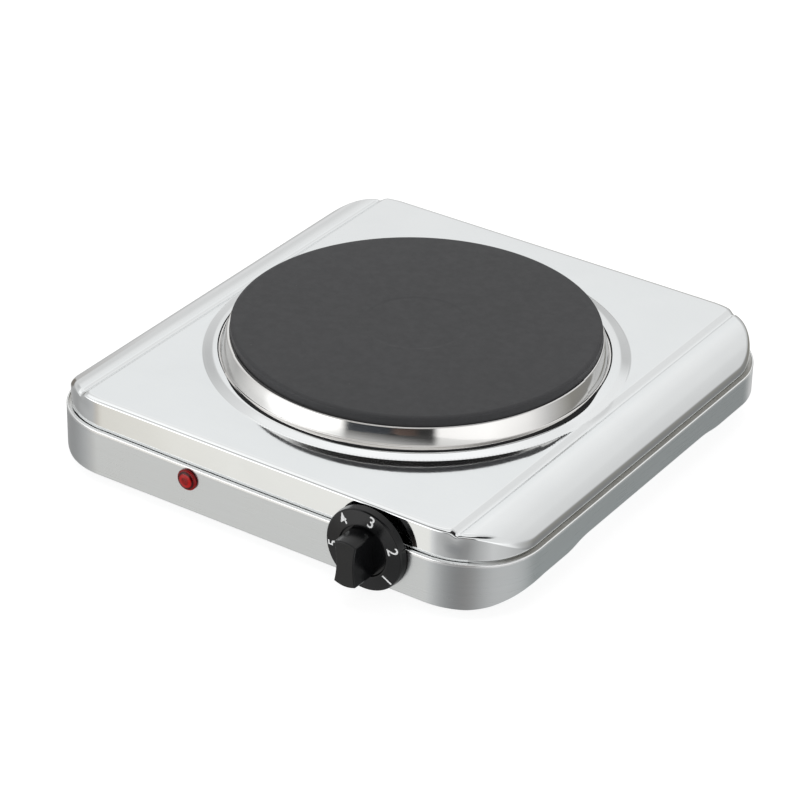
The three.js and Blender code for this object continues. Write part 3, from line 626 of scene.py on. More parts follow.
def galvanised():
    """Hot-dip galvanised sheet: spangle cells with their own tone and roughness."""
    m = Mat("galvanised_sheet")
    v = m.map((1, 1, 1))
    warp = m.new("ShaderNodeVectorMath", operation="ADD")
    nz = m.new("ShaderNodeTexNoise")
    nz.inputs["Scale"].default_value = 120.0
    m.link(v, nz.inputs["Vector"])
    sc = m.new("ShaderNodeVectorMath", operation="SCALE")
    sc.inputs["Scale"].default_value = 0.004
    m.link(nz.outputs["Color"], sc.inputs[0])
    m.link(v, warp.inputs[0])
    m.link(sc.outputs[0], warp.inputs[1])
    cell = m.voronoi(warp.outputs[0], 140.0, out="Color")
    s = m.new("ShaderNodeSeparateColor")
    m.link(cell, s.inputs[0])
    fine = m.noise(v, 1400.0, 3.0, 0.6)
    col = m.mix(s.outputs[0], (0.44, 0.455, 0.47), (0.60, 0.61, 0.61))
    m.set(color=col, rough=m.range(s.outputs[1], 0.0, 1.0, 0.34, 0.52), metal=1.0)
    m.bump((s.outputs[2], 0.05, 0.00005), (fine, 0.12, 0.00002))
    return m.m


def ceramic():
    m = Mat("steatite_ceramic")
    v = m.map((1, 1, 1))
    n = m.noise(v, 500.0, 5.0, 0.7)
    c = m.noise(v, 40.0, 3.0, 0.6)
    col = m.mix(m.range(n, 0.3, 0.7, 0.0, 1.0), (0.70, 0.66, 0.57), (0.80, 0.77, 0.69))
    col = m.mix(m.range(c, 0.45, 0.75, 0.0, 0.4), col, (0.60, 0.54, 0.45))
    m.set(color=col, rough=m.range(n, 0.3, 0.7, 0.5, 0.7), metal=0.0)
    m.bump((n, 0.2, 0.00008),)
    return m.m


def brass():
    m = Mat("brass")
    v = m.map((1, 1, 1))
    n = m.noise(v, 800.0, 4.0, 0.6)
    c = m.noise(v, 90.0, 3.0, 0.6)
    col = m.mix(m.range(c, 0.3, 0.7, 0.0, 1.0), (0.74, 0.54, 0.22), (0.62, 0.42, 0.16))
    m.set(color=col, rough=m.range(n, 0.3, 0.7, 0.2, 0.35), metal=1.0)
    m.bump((n, 0.1, 0.00002),)
    return m.m


def coloured(name, a, b, r0=0.35, r1=0.5, scale=700.0):
    m = Mat(name)
    v = m.map((1, 1, 1))
    n = m.noise(v, scale, 4.0, 0.6)
    m.set(color=m.mix(m.range(n, 0.3, 0.7, 0.0, 1.0), a, b), rough=m.range(n, 0.3, 0.7, r0, r1), metal=0.0)
    m.bump((n, 0.12, 0.00003),)
    return m.m


M = {
    "cover_steel": polished_steel(), "shell_steel": brushed_steel(), "edge": edge_steel_painted_highlight(), "chrome": chrome(),
    # the seal entry is a near-black fill that paints the shade in the gap beside the trim ring
    "ledge": ledge_steel_painted_shade(), "gap_shade": coloured("painted_shade_gap_fill", (0.004, 0.004, 0.005), (0.008, 0.008, 0.009), 0.85, 0.95, 1100.0), "cast_iron": cast_iron(), "black_plastic": black_plastic(), "digit": digit_white(), "lamp_red": lamp_red(),
    "rubber": rubber(), "zinc_steel": zinc(), "galvanised": galvanised(), "ceramic": ceramic(), "brass": brass(),
    "white_plastic": coloured("white_moulded_plastic", (0.70, 0.69, 0.65), (0.78, 0.77, 0.73)),
    "wire_brown": coloured("brown_insulation", (0.105, 0.040, 0.020), (0.135, 0.054, 0.028)),
    "wire_blue": coloured("blue_insulation", (0.020, 0.085, 0.30), (0.028, 0.105, 0.36)),
    "wire_green": coloured("green_insulation", (0.045, 0.26, 0.040), (0.060, 0.32, 0.055)),
}
SLOT_OF = {s["node"]: s["material_slot"] for s in frame["record"]["subparts"] if s.get("material_slot")}
for node_name, node in NODES.items():
    m = M[SLOT_OF.get(node_name, "zinc_steel")]
    if node.material_slots:
        for sl in node.material_slots:
            sl.material = m
    else:
        node.data.materials.append(m)


# ------------------------------------------------------------------ top cover
def smooth_profile():
    """Height of the pressing across the width, P(|x|), with small bend radii."""
    x = np.arange(0, 140, 0.02)
    z = np.full_like(x, LID_TOP)
    z = np.interp(x, [0, 105.2, 107.6, 108.2, 108.95, 109.85, 110.5, 140], [LID_TOP, LID_TOP, 43.66, 43.42, 43.34, 44.0, 44.03, 44.0])
    c = 111.5
    wing = 21.0 + np.sqrt(np.maximum(529.0 - (x - 111.5) ** 2, 0.0))
    xe = 129.3
    ze = 21.0 + math.sqrt(529.0 - (xe - 111.5) ** 2)
    sl = -(xe - 111.5) / math.sqrt(529.0 - (xe - 111.5) ** 2)
    wing = np.where(x > xe, ze + sl * (x - xe), wing)
    z = np.where(x > c, wing, z)
    k = np.hanning(35)
    k /= k.sum()
    zs = np.convolve(np.pad(z, 17, mode="edge"), k, mode="valid")
    w = np.clip((x - 103.0) / 1.0, 0, 1) * np.clip((116.0 - x) / 1.5, 0, 1)
    return x, z * (1 - w) + zs * w


PX, PZ = smooth_profile()


DISH = 0.12                                   # how far the flat top sinks towards the collar
FOOT = (0.6, 1.1, 105.6)                      # offset of the raised collar's outer circle from the plate centre, and its radius
BEAD_X, BEAD_Z = [-30.0, 0.0, 4.05, 4.55, 5.1, 9.2, 12.0], [-36.0, 0.0, 1.01, 1.12, 1.19, 1.55, 1.62]


def bead(x, y):
    """Raised collar: a shallow cone up from its foot, a soft crease, then a nearly flat top."""
    s = FOOT[2] - np.hypot(x - FOOT[0], y - PLATE_Y - FOOT[1])
    return LID_TOP + np.interp(s, BEAD_X, BEAD_Z)


def hump(a, at, w):
    d = (a - at + 180.0) % 360.0 - 180.0
    return np.exp(-(d / w) ** 2)


def around(table):
    """Smoothed closed table of (degrees, value)."""
    a = np.arange(-180.0, 180.0, 0.5)
    v = np.interp(a, [t[0] for t in table], [t[1] for t in table], period=360.0)
    k = np.hanning(15)
    k /= k.sum()
    v = np.convolve(np.concatenate([v[-7:], v, v[:7]]), k, mode="valid")
    return a, v


EDGE_A, EDGE_R = around([(-170, 98.3), (-160, 98.2), (-150, 97.9), (-140, 97.5), (-132, 97.2), (-128, 97.15), (-124, 97.6), (-120, 98.2), (-115, 98.7), (-110, 98.95), (-100, 99.15),
                         (-80, 99.35), (-60, 99.55), (-40, 99.85), (-20, 100.45), (-10, 100.7), (-5, 100.55), (0, 100.0), (5, 98.8), (9, 97.8), (14, 97.5), (20, 97.7), (40, 98.3), (90, 98.3), (170, 98.3)])
# radii by direction where the near-black gap fill, painted shade, begins
LIP_A, LIP_R = around([(-160, 96.9), (-135, 96.6), (-128, 96.0), (-125, 95.9), (-120, 96.2), (-115, 96.5), (-110, 96.75), (-100, 97.3), (-80, 97.9), (-60, 98.2), (-40, 98.3),
                       (-20, 98.0), (-10, 97.6), (0, 97.0), (8, 96.5), (14, 96.6), (30, 96.9), (170, 96.9)])


def inner_edge(a):
    """Radius where the collar turns down inside, by direction in degrees."""
    return np.interp(a, EDGE_A, EDGE_R, period=360.0)


def gap_shade_edge(a):
    """Radius where the near-black gap fill, painted shade, begins beside the trim ring's flange."""
    return np.interp(a, LIP_A, LIP_R, period=360.0)


def height(x, y):
    x, y = np.asarray(x, float), np.asarray(y, float)
    p = np.interp(np.abs(x), PX, PZ)
    b = bead(x, y)
    u = np.hypot(x - FOOT[0], y - PLATE_Y - FOOT[1]) - FOOT[2]
    p = p - DISH * np.exp(-(np.maximum(u, 0.0) / 7.0) ** 2) * (u > -6.0) * np.clip((103.0 - np.abs(x)) / 3.0, 0, 1)
    k = 0.35
    h = np.maximum(k - np.abs(p - b), 0.0) / k
    z = np.maximum(p, b) + h * h * k * 0.25
    return z


def height_normal(x, y, e=0.03):
    hx = (height(x + e, y) - height(x - e, y)) / (2 * e)
    hy = (height(x, y + e) - height(x, y - e)) / (2 * e)
    return unit(np.stack([-hx, -hy, np.ones_like(hx)], -1))


def bend_radius(n):
    """Bend at the edge of the pressing, its run and its drop: wider at the front and rear than at the sides."""
    t = np.abs(n[:, 1])
    t = t * t * (3 - 2 * t)
    return 1.45 + 1.85 * t, 3.2 - 1.6 * t


def skirt_dent(pts, nrm, z):
    """The skirt is drawn in a little where a groove runs out over it."""
    x = np.abs(pts[:, 0])
    d = 0.45 * np.exp(-((x - 107.5) / 5.5) ** 2) * np.clip(np.abs(nrm[:, 1]), 0, 1) ** 2
    f = np.exp(-((z - 40.0) / 5.5) ** 2)
    return d * f


def make_cover():
    B = Build()
    fine = list(np.arange(-117, -99, 0.8)) + list(np.arange(99, 117.1, 0.8))
    pts, nrm = rounded_outline(LID_H, LID_R, BODY_Y, 2.0, 40, extra=[f for f in fine if abs(f) < LID_H - LID_R])
    ncol = len(pts)
    br, bz = bend_radius(nrm)

    def layer(off):
        """Rows of the outer (off 0) or inner (off 1) surface, from the inner rim of the bend down the skirt."""
        rows = []
        for phi in np.radians([0, 8, 16, 24, 32, 40, 48, 56, 64, 72, 80, 86, 90]):
            d = br * (1 - np.sin(phi))
            xy = pts - nrm * d[:, None]
            z = height(xy[:, 0], xy[:, 1]) - bz * (1 - math.cos(phi))
            rows.append(np.column_stack([xy, z]))
        z_top = rows[-1][:, 2].copy()
        for t in (0.06, 0.14, 0.25, 0.38, 0.52, 0.66, 0.8, 0.92, 1.0):
            z = z_top + (SKIRT_Z - z_top) * t
            rows.append(np.column_stack([pts - nrm * (skirt_dent(pts, nrm, z) * min(1, t / 0.1))[:, None], z]))
        return np.array(rows)

    R = layer(0)
    dr = np.gradient(R, axis=0)
    dc = (np.roll(R, -1, axis=1) - np.roll(R, 1, axis=1))
    N = unit(np.cross(dc, dr))
    out = np.concatenate([nrm, np.zeros((ncol, 1))], 1)
    sgn = np.sign(np.sum(N * (out[None] + [0, 0, 0.6]), -1, keepdims=True))
    N = N * np.where(sgn == 0, 1, sgn)
    N[0] = height_normal(R[0][:, 0], R[0][:, 1])

    # collar: the raised ring's inner corner, its wall and the stepped seat
    seg = 360
    ang = [2 * math.pi * j / seg for j in range(seg)]
    edge = inner_edge(np.degrees(ang))
    top = height(edge * np.cos(ang), PLATE_Y + edge * np.sin(ang))
    col = fillet([(0.001, 0.0), (-0.32, 0.0, 0.31), (-0.32, -3.0, 0.25), (-1.2, -3.0)], step=12)
    C, CN = [], []
    for p, ni, no in col:
        w = np.clip(-p[1] / 3.0, 0, 1)
        C.append([((edge[j] + p[0]) * math.cos(a), PLATE_Y + (edge[j] + p[0]) * math.sin(a), top[j] + p[1] + w * (46.0 - top[j])) for j, a in enumerate(ang)])
        n = unit(ni + no)
        s = -1.0
        CN.append([(s * n[0] * math.cos(a), s * n[0] * math.sin(a), s * n[1]) for a in ang])
    C.append([(87.0 * math.cos(a), PLATE_Y + 87.0 * math.sin(a), 43.0) for a in ang])
    CN.append([(0.0, 0.0, 1.0)] * seg)
    C, CN = np.array(C), np.array(CN)
    if CN[0][0][2] < 0:
        CN[:-1] = -CN[:-1]
    CN[0] = height_normal(C[0][:, 0], C[0][:, 1])

    # inside points for the triangulation
    cand = []
    for i, s in enumerate((8.0, 7.2, 6.3, 5.6, 5.1, 4.8, 4.55, 4.3, 4.05, 3.7, 3.0, 2.2, 1.5, 1.2, 0.9, 0.6, 0.3, 0.0, -0.3, -0.6, -1.1, -2.0, -3.2)):
        for j in range(seg):
            a = 2 * math.pi * (j + 0.5 * (i % 2)) / seg
            r = FOOT[2] - s
            cand.append((FOOT[0] + r * math.cos(a), PLATE_Y + FOOT[1] + r * math.sin(a), 0))
    xs = [102.6, 103.8, 104.5, 104.9, 105.2, 105.5, 105.8, 106.1, 106.4, 106.7, 107.0, 107.3, 107.6, 107.9, 108.2, 108.5, 108.8, 109.05, 109.3, 109.55, 109.8, 110.1, 110.4, 110.8, 111.3, 112.0, 113.0, 114.0,
          115.2, 116.5, 118.0, 119.5, 121.0, 122.5, 124.0, 125.4, 126.7, 127.8, 128.6, 129.2, 129.7]
    for s in (-1, 1):
        for i, x in enumerate(xs):
            for y in np.arange(BODY_Y - LID_H + 1, BODY_Y + LID_H, 2.0):
                cand.append((s * x, y + (1.0 if i % 2 else 0.0), 1))
        for x in np.arange(103.4, 112.0, 0.4):
            for y in np.arange(PLATE_Y - 30, PLATE_Y + 32.1, 0.9):
                cand.append((s * x, y, 2))
    for x in np.arange(-100, 100.1, 4.0):
        for y in np.arange(BODY_Y - LID_H + 3, BODY_Y + LID_H - 2, 4.0):
            if math.hypot(x, y - PLATE_Y) > 110.5:
                cand.append((x, y, 3))
    cand.sort(key=lambda c: {2: 0, 0: 1, 1: 2, 3: 3}[c[2]])
    P = np.array([(c[0], c[1]) for c in cand])
    # keep those well inside the bend's inner rim
    q = LID_H - LID_R
    ax, ay = np.abs(P[:, 0]), np.abs(P[:, 1] - BODY_Y)
    corner = (ax > q) & (ay > q)
    dist = np.where(corner, LID_R - np.hypot(ax - q, ay - q), LID_H - np.maximum(ax, ay))
    wy = np.where(corner, (ay - q) / np.maximum(np.hypot(ax - q, ay - q), 1e-9), (ay > ax).astype(float))
    bb = 1.45 + 1.85 * (wy * wy * (3 - 2 * wy))
    pa = np.degrees(np.arctan2(P[:, 1] - PLATE_Y, P[:, 0]))
    ok = (dist > bb + 0.3) & (np.hypot(P[:, 0], P[:, 1] - PLATE_Y) > inner_edge(pa) + 0.4)
    P = P[ok]
    seen, kept = {}, []
    for x, y in P:
        key = (int(math.floor(x / 0.5)), int(math.floor(y / 0.5)))
        clash = False
        for i in (-1, 0, 1):
            for j in (-1, 0, 1):
                for (u, w) in seen.get((key[0] + i, key[1] + j), ()):
                    if (u - x) ** 2 + (w - y) ** 2 < 0.025:
                        clash = True
        if not clash:
            seen.setdefault(key, []).append((x, y))
            kept.append((x, y))
    loop = R[0][:, :2]
    circ = C[0][:, :2]
    pts2 = [Vector((float(a), float(b))) for a, b in loop] + [Vector((float(a), float(b))) for a, b in circ] + [Vector((float(a), float(b))) for a, b in kept]
    edges = [(i, (i + 1) % ncol) for i in range(ncol)] + [(ncol + i, ncol + (i + 1) % seg) for i in range(seg)]
    vo, _, fo, ov, _, _ = delaunay_2d_cdt(pts2, edges, [], 0, 1e-5, True)
    V2 = np.array([(v.x, v.y) for v in vo])
    tri = [f for f in fo if len(f) == 3]
    T = np.array(tri)
    cen = V2[T].mean(axis=1)
    rr = np.hypot(cen[:, 0], cen[:, 1] - PLATE_Y)
    T = T[rr > inner_edge(np.degrees(np.arctan2(cen[:, 1] - PLATE_Y, cen[:, 0]))) * math.cos(math.pi / seg) - 1e-3]
    cen = V2[T].mean(axis=1)
    ax, ay = np.abs(cen[:, 0]), np.abs(cen[:, 1] - BODY_Y)
    from_id = {}
    for new, olds in enumerate(ov):
        for o in olds:
            from_id[o] = new
    zz = height(V2[:, 0], V2[:, 1])
    nn = height_normal(V2[:, 0], V2[:, 1])
    # surfaces: outer, then the same shifted in by the sheet's thickness
    def shift(A, n, t):
        return A - n * t

    for off, flip in ((0.0, False), (1.0, True)):
        A = shift(np.column_stack([V2, zz]), nn, off)
        ids = B.add(A)
        sg = -1.0 if flip else 1.0
        for t in T:
            a, b, c = t
            area = (V2[b][0] - V2[a][0]) * (V2[c][1] - V2[a][1]) - (V2[b][1] - V2[a][1]) * (V2[c][0] - V2[a][0])
            if area < 0:
                b, c = c, b
            f = [ids[a], ids[b], ids[c]]
            n3 = [nn[a] * sg, nn[b] * sg, nn[c] * sg]
            if flip:
                f.reverse()
                n3.reverse()
            B.face(f, n3)
        # bend and skirt
        rows = [[ids[from_id[j]] for j in range(ncol)]]
        Rs = shift(R, N, off)
        if flip:
            Rs[1:, :, 2] = np.maximum(Rs[1:, :, 2], SKIRT_Z)
        for i in range(1, len(R)):
            rows.append(B.add(Rs[i]))
        for i in range(len(rows) - 1):
            for j in range(ncol):
                k = (j + 1) % ncol
                f = [rows[i][j], rows[i + 1][j], rows[i + 1][k], rows[i][k]]
                n4 = [N[i][j] * sg, N[i + 1][j] * sg, N[i + 1][k] * sg, N[i][k] * sg]
                if flip:
                    f.reverse()
                    n4.reverse()
                B.face(f, n4)
        crow = [[ids[from_id[ncol + j]] for j in range(seg)]]
        Cs = shift(C, CN, off)
        for i in range(1, len(C)):
            crow.append(B.add(Cs[i]))
        for i in range(len(crow) - 1):
            for j in range(seg):
                k = (j + 1) % seg
                f = [crow[i][j], crow[i][k], crow[i + 1][k], crow[i + 1][j]]
                n4 = [CN[i][j] * sg, CN[i][k] * sg, CN[i + 1][k] * sg, CN[i + 1][j] * sg]
                if flip:
                    f.reverse()
                    n4.reverse()
                B.face(f, n4)
        if not flip:
            last_out, cl_out = rows[-1], crow[-1]
        else:
            for j in range(ncol):
                k = (j + 1) % ncol
                B.face([last_out[j], rows[-1][j], rows[-1][k], last_out[k]], [(0, 0, -1)] * 4)
            for j in range(seg):
                k = (j + 1) % seg
                n = (-math.cos(ang[j]), -math.sin(ang[j]), 0)
                n2 = (-math.cos(ang[k]), -math.sin(ang[k]), 0)
                B.face([cl_out[j], cl_out[k], crow[-1][k], crow[-1][j]], [n, n2, n2, n])
    return B.finish("cover_pressing", [M["cover_steel"]], "root", ["top_cover"], "cover_steel")


# ------------------------------------------------------------------ base shell
EDGE = [(-140, 5), (-128.5, 5), (-125, 5.7), (-121.5, 6.5), (-117.8, 7.7), (-113.6, 8.9), (-108.7, 10.3), (-102.9, 11.8), (-98, 12.6),
        (-93, 13), (-70, 13), (-65, 13.7), (-60, 14.7), (-55, 15.2), (55, 15.2), (60, 14.9), (66, 14.0), (72, 13.6), (80, 13.7), (140, 13.7)]


def lower_edge(yb):
    t = np.arange(-145, 145, 0.25)
    z = np.interp(t, [e[0] for e in EDGE], [e[1] for e in EDGE])
    k = np.hanning(17)
    z = np.convolve(np.pad(z, 8, mode="edge"), k / k.sum(), mode="valid")
    return np.interp(yb, t, z)


def make_shell():
    B = Build()
    pts, nrm = rounded_outline(SHELL_H, SHELL_R, BODY_Y, 3.0, 44)
    n = len(pts)
    zl = np.maximum(lower_edge(pts[:, 1] - BODY_Y), lo_hi("base_shell")[0].z)
    front = np.clip(-nrm[:, 1], 0, 1) * (pts[:, 1] < BODY_Y)
    sag = 0.8 * np.exp(-(pts[:, 0] / 70.0) ** 2) * (front > 0.99)
    side = np.clip((np.abs(nrm[:, 0]) - 0.5) / 0.4, 0, 1)
    sag = sag + 0.9 * side * side * (3 - 2 * side)
    zt = SHELL_TOP - sag
    fl, fw = 15.4, 10.0
    rows, nr, mats = [], [], []

    def row(d, z, nd, nz, mat=0):
        """d inwards from the outside face; the normal has nd outwards and nz up."""
        d = np.broadcast_to(d, (n,))
        z = np.broadcast_to(z, (n,))
        rows.append(np.column_stack([pts - nrm * d[:, None], z]))
        nr.append(unit(np.column_stack([nrm * np.broadcast_to(nd, (n,))[:, None], np.broadcast_to(nz, (n,))])))
        mats.append(mat)

    rb, rt = 0.42, 0.5
    for a in np.radians([-90, -67, -45, -22, 0]):
        row(rb - rb * np.cos(a), zl + rb + rb * np.sin(a), math.cos(a), math.sin(a), 0)
    for t in (0.04, 0.3, 0.6, 0.96):
        row(0, zl + rb + (zt - rt - zl - rb) * t, 1, 0, 0)
    # the top roll takes material 1, the edge steel, lighter partly as a painted highlight
    for a in np.radians([0, 12, 24, 36, 48, 60, 72, 84, 90]):
        row(rt - rt * np.cos(a), zt - rt + rt * np.sin(a), math.cos(a), math.sin(a), 1)
    ri = 0.3
    wide = np.exp(-((pts[:, 0] - 68.0) / 20.0) ** 4) * (front > 0.99)
    lip = 1.95 - 0.8 * wide + 1.1 * side
    zl2 = zt - 0.8 * side
    row(0.62, zt, 0, 1, 1)
    row(0.70, zt - 0.08 * side, -side - 1e-6, 1 - 0.3 * side, 1)
    # material 2 is the ledge steel, painted brown-grey as shade on the sides
    row(0.74, zl2, -side - 1e-6, 1 - 0.6 * side, 2)
    row(0.80, zl2, 0, 1, 2)
    for a in np.radians([90, 60, 30, 0, -30, -60, -90]):
        row(lip - ri + ri * np.cos(a), zl2 - ri + ri * np.sin(a), -math.cos(a), math.sin(a), 2)
    row(np.full(n, 0.9), zl2 - 2 * ri, 0, -1, 0)
    # inside, flange and back down to the lower edge
    start = len(rows) - 1
    B_rows = list(rows)
    ids = [B.add(r) for r in B_rows]
    for i in range(start):
        for j in range(n):
            k = (j + 1) % n
            mt = mats[i + 1] if i + 1 < len(mats) else 0
            mt = mt if mt != 2 or side[j] > 0.02 else 1
            B.face([ids[i][j], ids[i][k], ids[i + 1][k], ids[i + 1][j]], [nr[i][j], nr[i][k], nr[i + 1][k], nr[i + 1][j]], mt)

    def ring(d, z):
        d = np.broadcast_to(d, (n,))
        z = np.broadcast_to(z, (n,))
        q = np.minimum(d, SHELL_R - 4)
        return B.add(np.column_stack([pts - nrm * q[:, None], z]))

    inn = np.column_stack([-nrm, np.zeros(n)])
    seq = [(ids[-1], None), (ring(1.0, fl + 1.0), inn), (ring(1.0 + fw, fl + 1.0), (0, 0, 1)), (ring(1.0 + fw, fl), inn), (ring(1.0, fl), (0, 0, -1)),
           (ring(1.0, np.minimum(zl + 0.02, fl - 0.02)), inn), (ids[0], (0, 0, -1))]
    for i in range(len(seq) - 1):
        a, b = seq[i][0], seq[i + 1][0]
        nn = seq[i + 1][1]
        nn = np.broadcast_to(np.asarray(nn, float), (n, 3))
        for j in range(n):
            k = (j + 1) % n
            B.face([a[j], a[k], b[k], b[j]], [nn[j], nn[k], nn[k], nn[j]], 0)
    ob = B.finish("base_shell_pressing", [M["shell_steel"], M["edge"], M["ledge"]], "root", ["base_shell"], "shell_steel")
    return ob


# ------------------------------------------------------------------ plate, ring
def pull(a):
    """How far the ring and the plate's rim stand in at the front left, where the ring is squeezed, a in degrees."""
    d = (a + 120.0 + 180.0) % 360.0 - 180.0
    return 1.6 * math.exp(-(d / (30.0 if d < 0 else 42.0)) ** 2)


def squeezed(dx, dy, r0, r1):
    """A vertical turning axis whose radii between r0 and r1 are drawn in by pull()."""
    def at(r, h, a):
        w = min(1.0, max(0.0, (r - r0) / (r1 - r0)))
        q = r - pull(math.degrees(a)) * w
        return (dx + q * math.cos(a), PLATE_Y + dy + q * math.sin(a), h)
    return at


def make_plate():
    B = Build()
    R = PLATE_R - 0.2
    prof = fillet([(0, PLATE_TOP - 0.16), (25.2, PLATE_TOP - 0.16, 8.0), (27.0, PLATE_TOP - 0.01, 8.0), (R - 4.0, PLATE_TOP), (R - 1.5, PLATE_TOP - 0.10, 3.0),
                   (R, PLATE_TOP - 0.75, 1.1), (R, 44.6, 0.5), (84.5, 44.6, 0.4), (84.5, 53.0, 1.0), (14.0, 53.0, 1.0), (14.0, 44.6, 0.4),
                   (3.4, 44.6, 0.3), (3.4, 54.0), (0, 54.0)], step=6)
    seg = 288
    at, flat = squeezed(PLATE_DX, PLATE_DY, 60.0, R - 5.0), vertical(PLATE_DX, PLATE_Y + PLATE_DY)
    at0 = lambda r, h, a: at(r, h, a)
    ids, n_in, n_out = [], [], []
    ang = [2 * math.pi * j / seg for j in range(seg)]
    for p, ni, no in prof:
        ids.append(B.add([at0(0.0, p[1], 0.0)]) * seg if p[0] < 1e-6 else B.add([at0(p[0], p[1], a) for a in ang]))
        n_in.append([at_n(flat, ni[0], ni[1], a) for a in ang])
        n_out.append([at_n(flat, no[0], no[1], a) for a in ang])
    for i in range(len(ids) - 1):
        for c in range(seg):
            d = (c + 1) % seg
            B.face([ids[i][c], ids[i][d], ids[i + 1][d], ids[i + 1][c]], [n_out[i][c], n_out[i][d], n_in[i + 1][d], n_in[i + 1][c]])
    return B.finish("cooking_plate", [M["cast_iron"]], "root", ["cast_iron_plate"], "cast_iron")


def ring_profile(crease, outer, wide, lap):
    """Closed section of the trim ring: crease is the radius where band and flange meet, outer the flange's edge, wide extra width of the lip, lap 1 beyond the laps."""
    t0 = 93.7 - 0.3 * lap
    li = t0 - 1.3 - wide
    poly = [(li, 44.3, 0), (li, 55.2, 0)]
    poly += [(li + 0.72 + 0.72 * math.cos(t), 55.25 + 0.72 * math.sin(t), 0) for t in np.radians(np.arange(168, 91, -12))]
    poly += [(t0 - 0.704 - wide * 0.5, 55.97, 0)]
    poly += [(t0 - 0.704 + 0.72 * math.cos(t), 55.25 + 0.72 * math.sin(t), 0) for t in np.radians(np.arange(84, 11, -9))]
    z0, z1 = 55.4, 46.9
    for t in (0.04, 0.13, 0.22, 0.31, 0.4, 0.5, 0.6, 0.7, 0.8, 1.0):
        poly.append((t0 + (crease - t0) * t + (0.08 + 0.04 * lap) * math.sin(math.pi * t), z0 - (z0 - z1) * t, 0.5 if t > 0.999 else 0))
    poly += [(outer - 0.15, 46.9 + 0.07 * (outer - crease), 0.1), (outer, 46.7, 0.1), (outer, 43.9, 0), (outer - 0.4, 43.3, 0), (88.0, 43.3, 0), (88.0, 44.3, 0)]
    out = []
    for p, ni, no in fillet(poly, closed=True, count=8):
        if float(np.dot(ni, no)) > math.cos(math.radians(32)):
            ni = no = unit(ni + no)
        out.append((p, ni, no))
    return out


def crease_radius(a):
    return 96.45 - 1.15 * math.exp(-(((a + 70.0 + 180.0) % 360.0 - 180.0) / 38.0) ** 2)


def make_ring():
    B = Build()
    laps = (-128.6, 4.6)
    ang = sorted(set([round(-180 + 1.25 * i, 4) for i in range(288)] + [a + d for a in laps for d in (-0.06, 0.06)]))
    ang = [a for a in ang if min(abs(a - l) for l in laps) < 0.1 or min(abs(a - l) for l in laps) > 0.4]
    cols = []
    for a in ang:
        inside = laps[0] < a < laps[1]
        cr = crease_radius(a) - (0.0 if inside else 0.3)
        outer = max(cr + 0.75, min(float(gap_shade_edge(a)) + 0.3, float(inner_edge(a)) - 0.42))
        prof = ring_profile(cr, outer, pull(a), 0.0 if inside else 1.0)
        t = math.radians(a)
        c, s = math.cos(t), math.sin(t)
        ids = B.add([(PLATE_DX * (p[1] > 50) + p[0] * c, PLATE_Y + PLATE_DY * (p[1] > 50) + p[0] * s, p[1]) for p, _, _ in prof])
        cols.append((ids, [(ni[0] * c, ni[0] * s, ni[1]) for _, ni, _ in prof], [(no[0] * c, no[0] * s, no[1]) for _, _, no in prof]))
    m, k = len(cols), len(cols[0][0])
    assert all(len(c[0]) == k for c in cols)
    for i in range(m):
        a, b = cols[i], cols[(i + 1) % m]
        for j in range(k):
            q = (j + 1) % k
            B.face([a[0][j], b[0][j], b[0][q], a[0][q]], [a[2][j], b[2][j], b[1][q], a[1][q]])
    return B.finish("trim_ring_bright", [M["chrome"]], "root", ["trim_ring"], "chrome")


def make_gap_shade():
    """Near-black fill in the gap between the trim ring and the cover: painted shade for the dark gap."""
    B = Build()
    seg = 288
    rows = [(2, 44.0, -1, 0), (2, 46.98, 0, 1), (1, 46.75, 0, 1), (1, 44.0, 1, 0)]
    ids, nn = [], []
    for r, z, nr, nz in rows:
        row, n = [], []
        for j in range(seg):
            d = -180 + 360.0 * j / seg
            t = math.radians(d)
            q = float(inner_edge(d)) - 0.33
            q = min(float(gap_shade_edge(d)), q - 0.12) if r == 2 else q
            row.append((q * math.cos(t), PLATE_Y + q * math.sin(t), z))
            n.append((nr * math.cos(t), nr * math.sin(t), nz))
        ids.append(B.add(row))
        nn.append(n)
    for i in range(4):
        k = (i + 1) % 4
        n = [nn[0], nn[1], nn[3], [(0, 0, -1)] * seg][i]
        for j in range(seg):
            c = (j + 1) % seg
            B.face([ids[i][j], ids[i][c], ids[k][c], ids[k][j]], [n[j], n[c], n[c], n[j]])
    return B.finish("ring_gap_painted_shade", [M["gap_shade"]], "root", (), "rubber")


# ------------------------------------------------------------------ knob
def bez(p0, p1, p2, n):
    t = np.linspace(0, 1, n, endpoint=False)[:, None]
    p0, p1, p2 = (np.array(p, float) for p in (p0, p1, p2))
    return (1 - t) ** 2 * p0 + 2 * t * (1 - t) * p1 + t ** 2 * p2


def dial_height(r):
    """Front of the dial face at radius r, in front of the rear face."""
    return np.where(r < 13.6, 5.15, 5.15 - 0.155 * (r - 13.6))


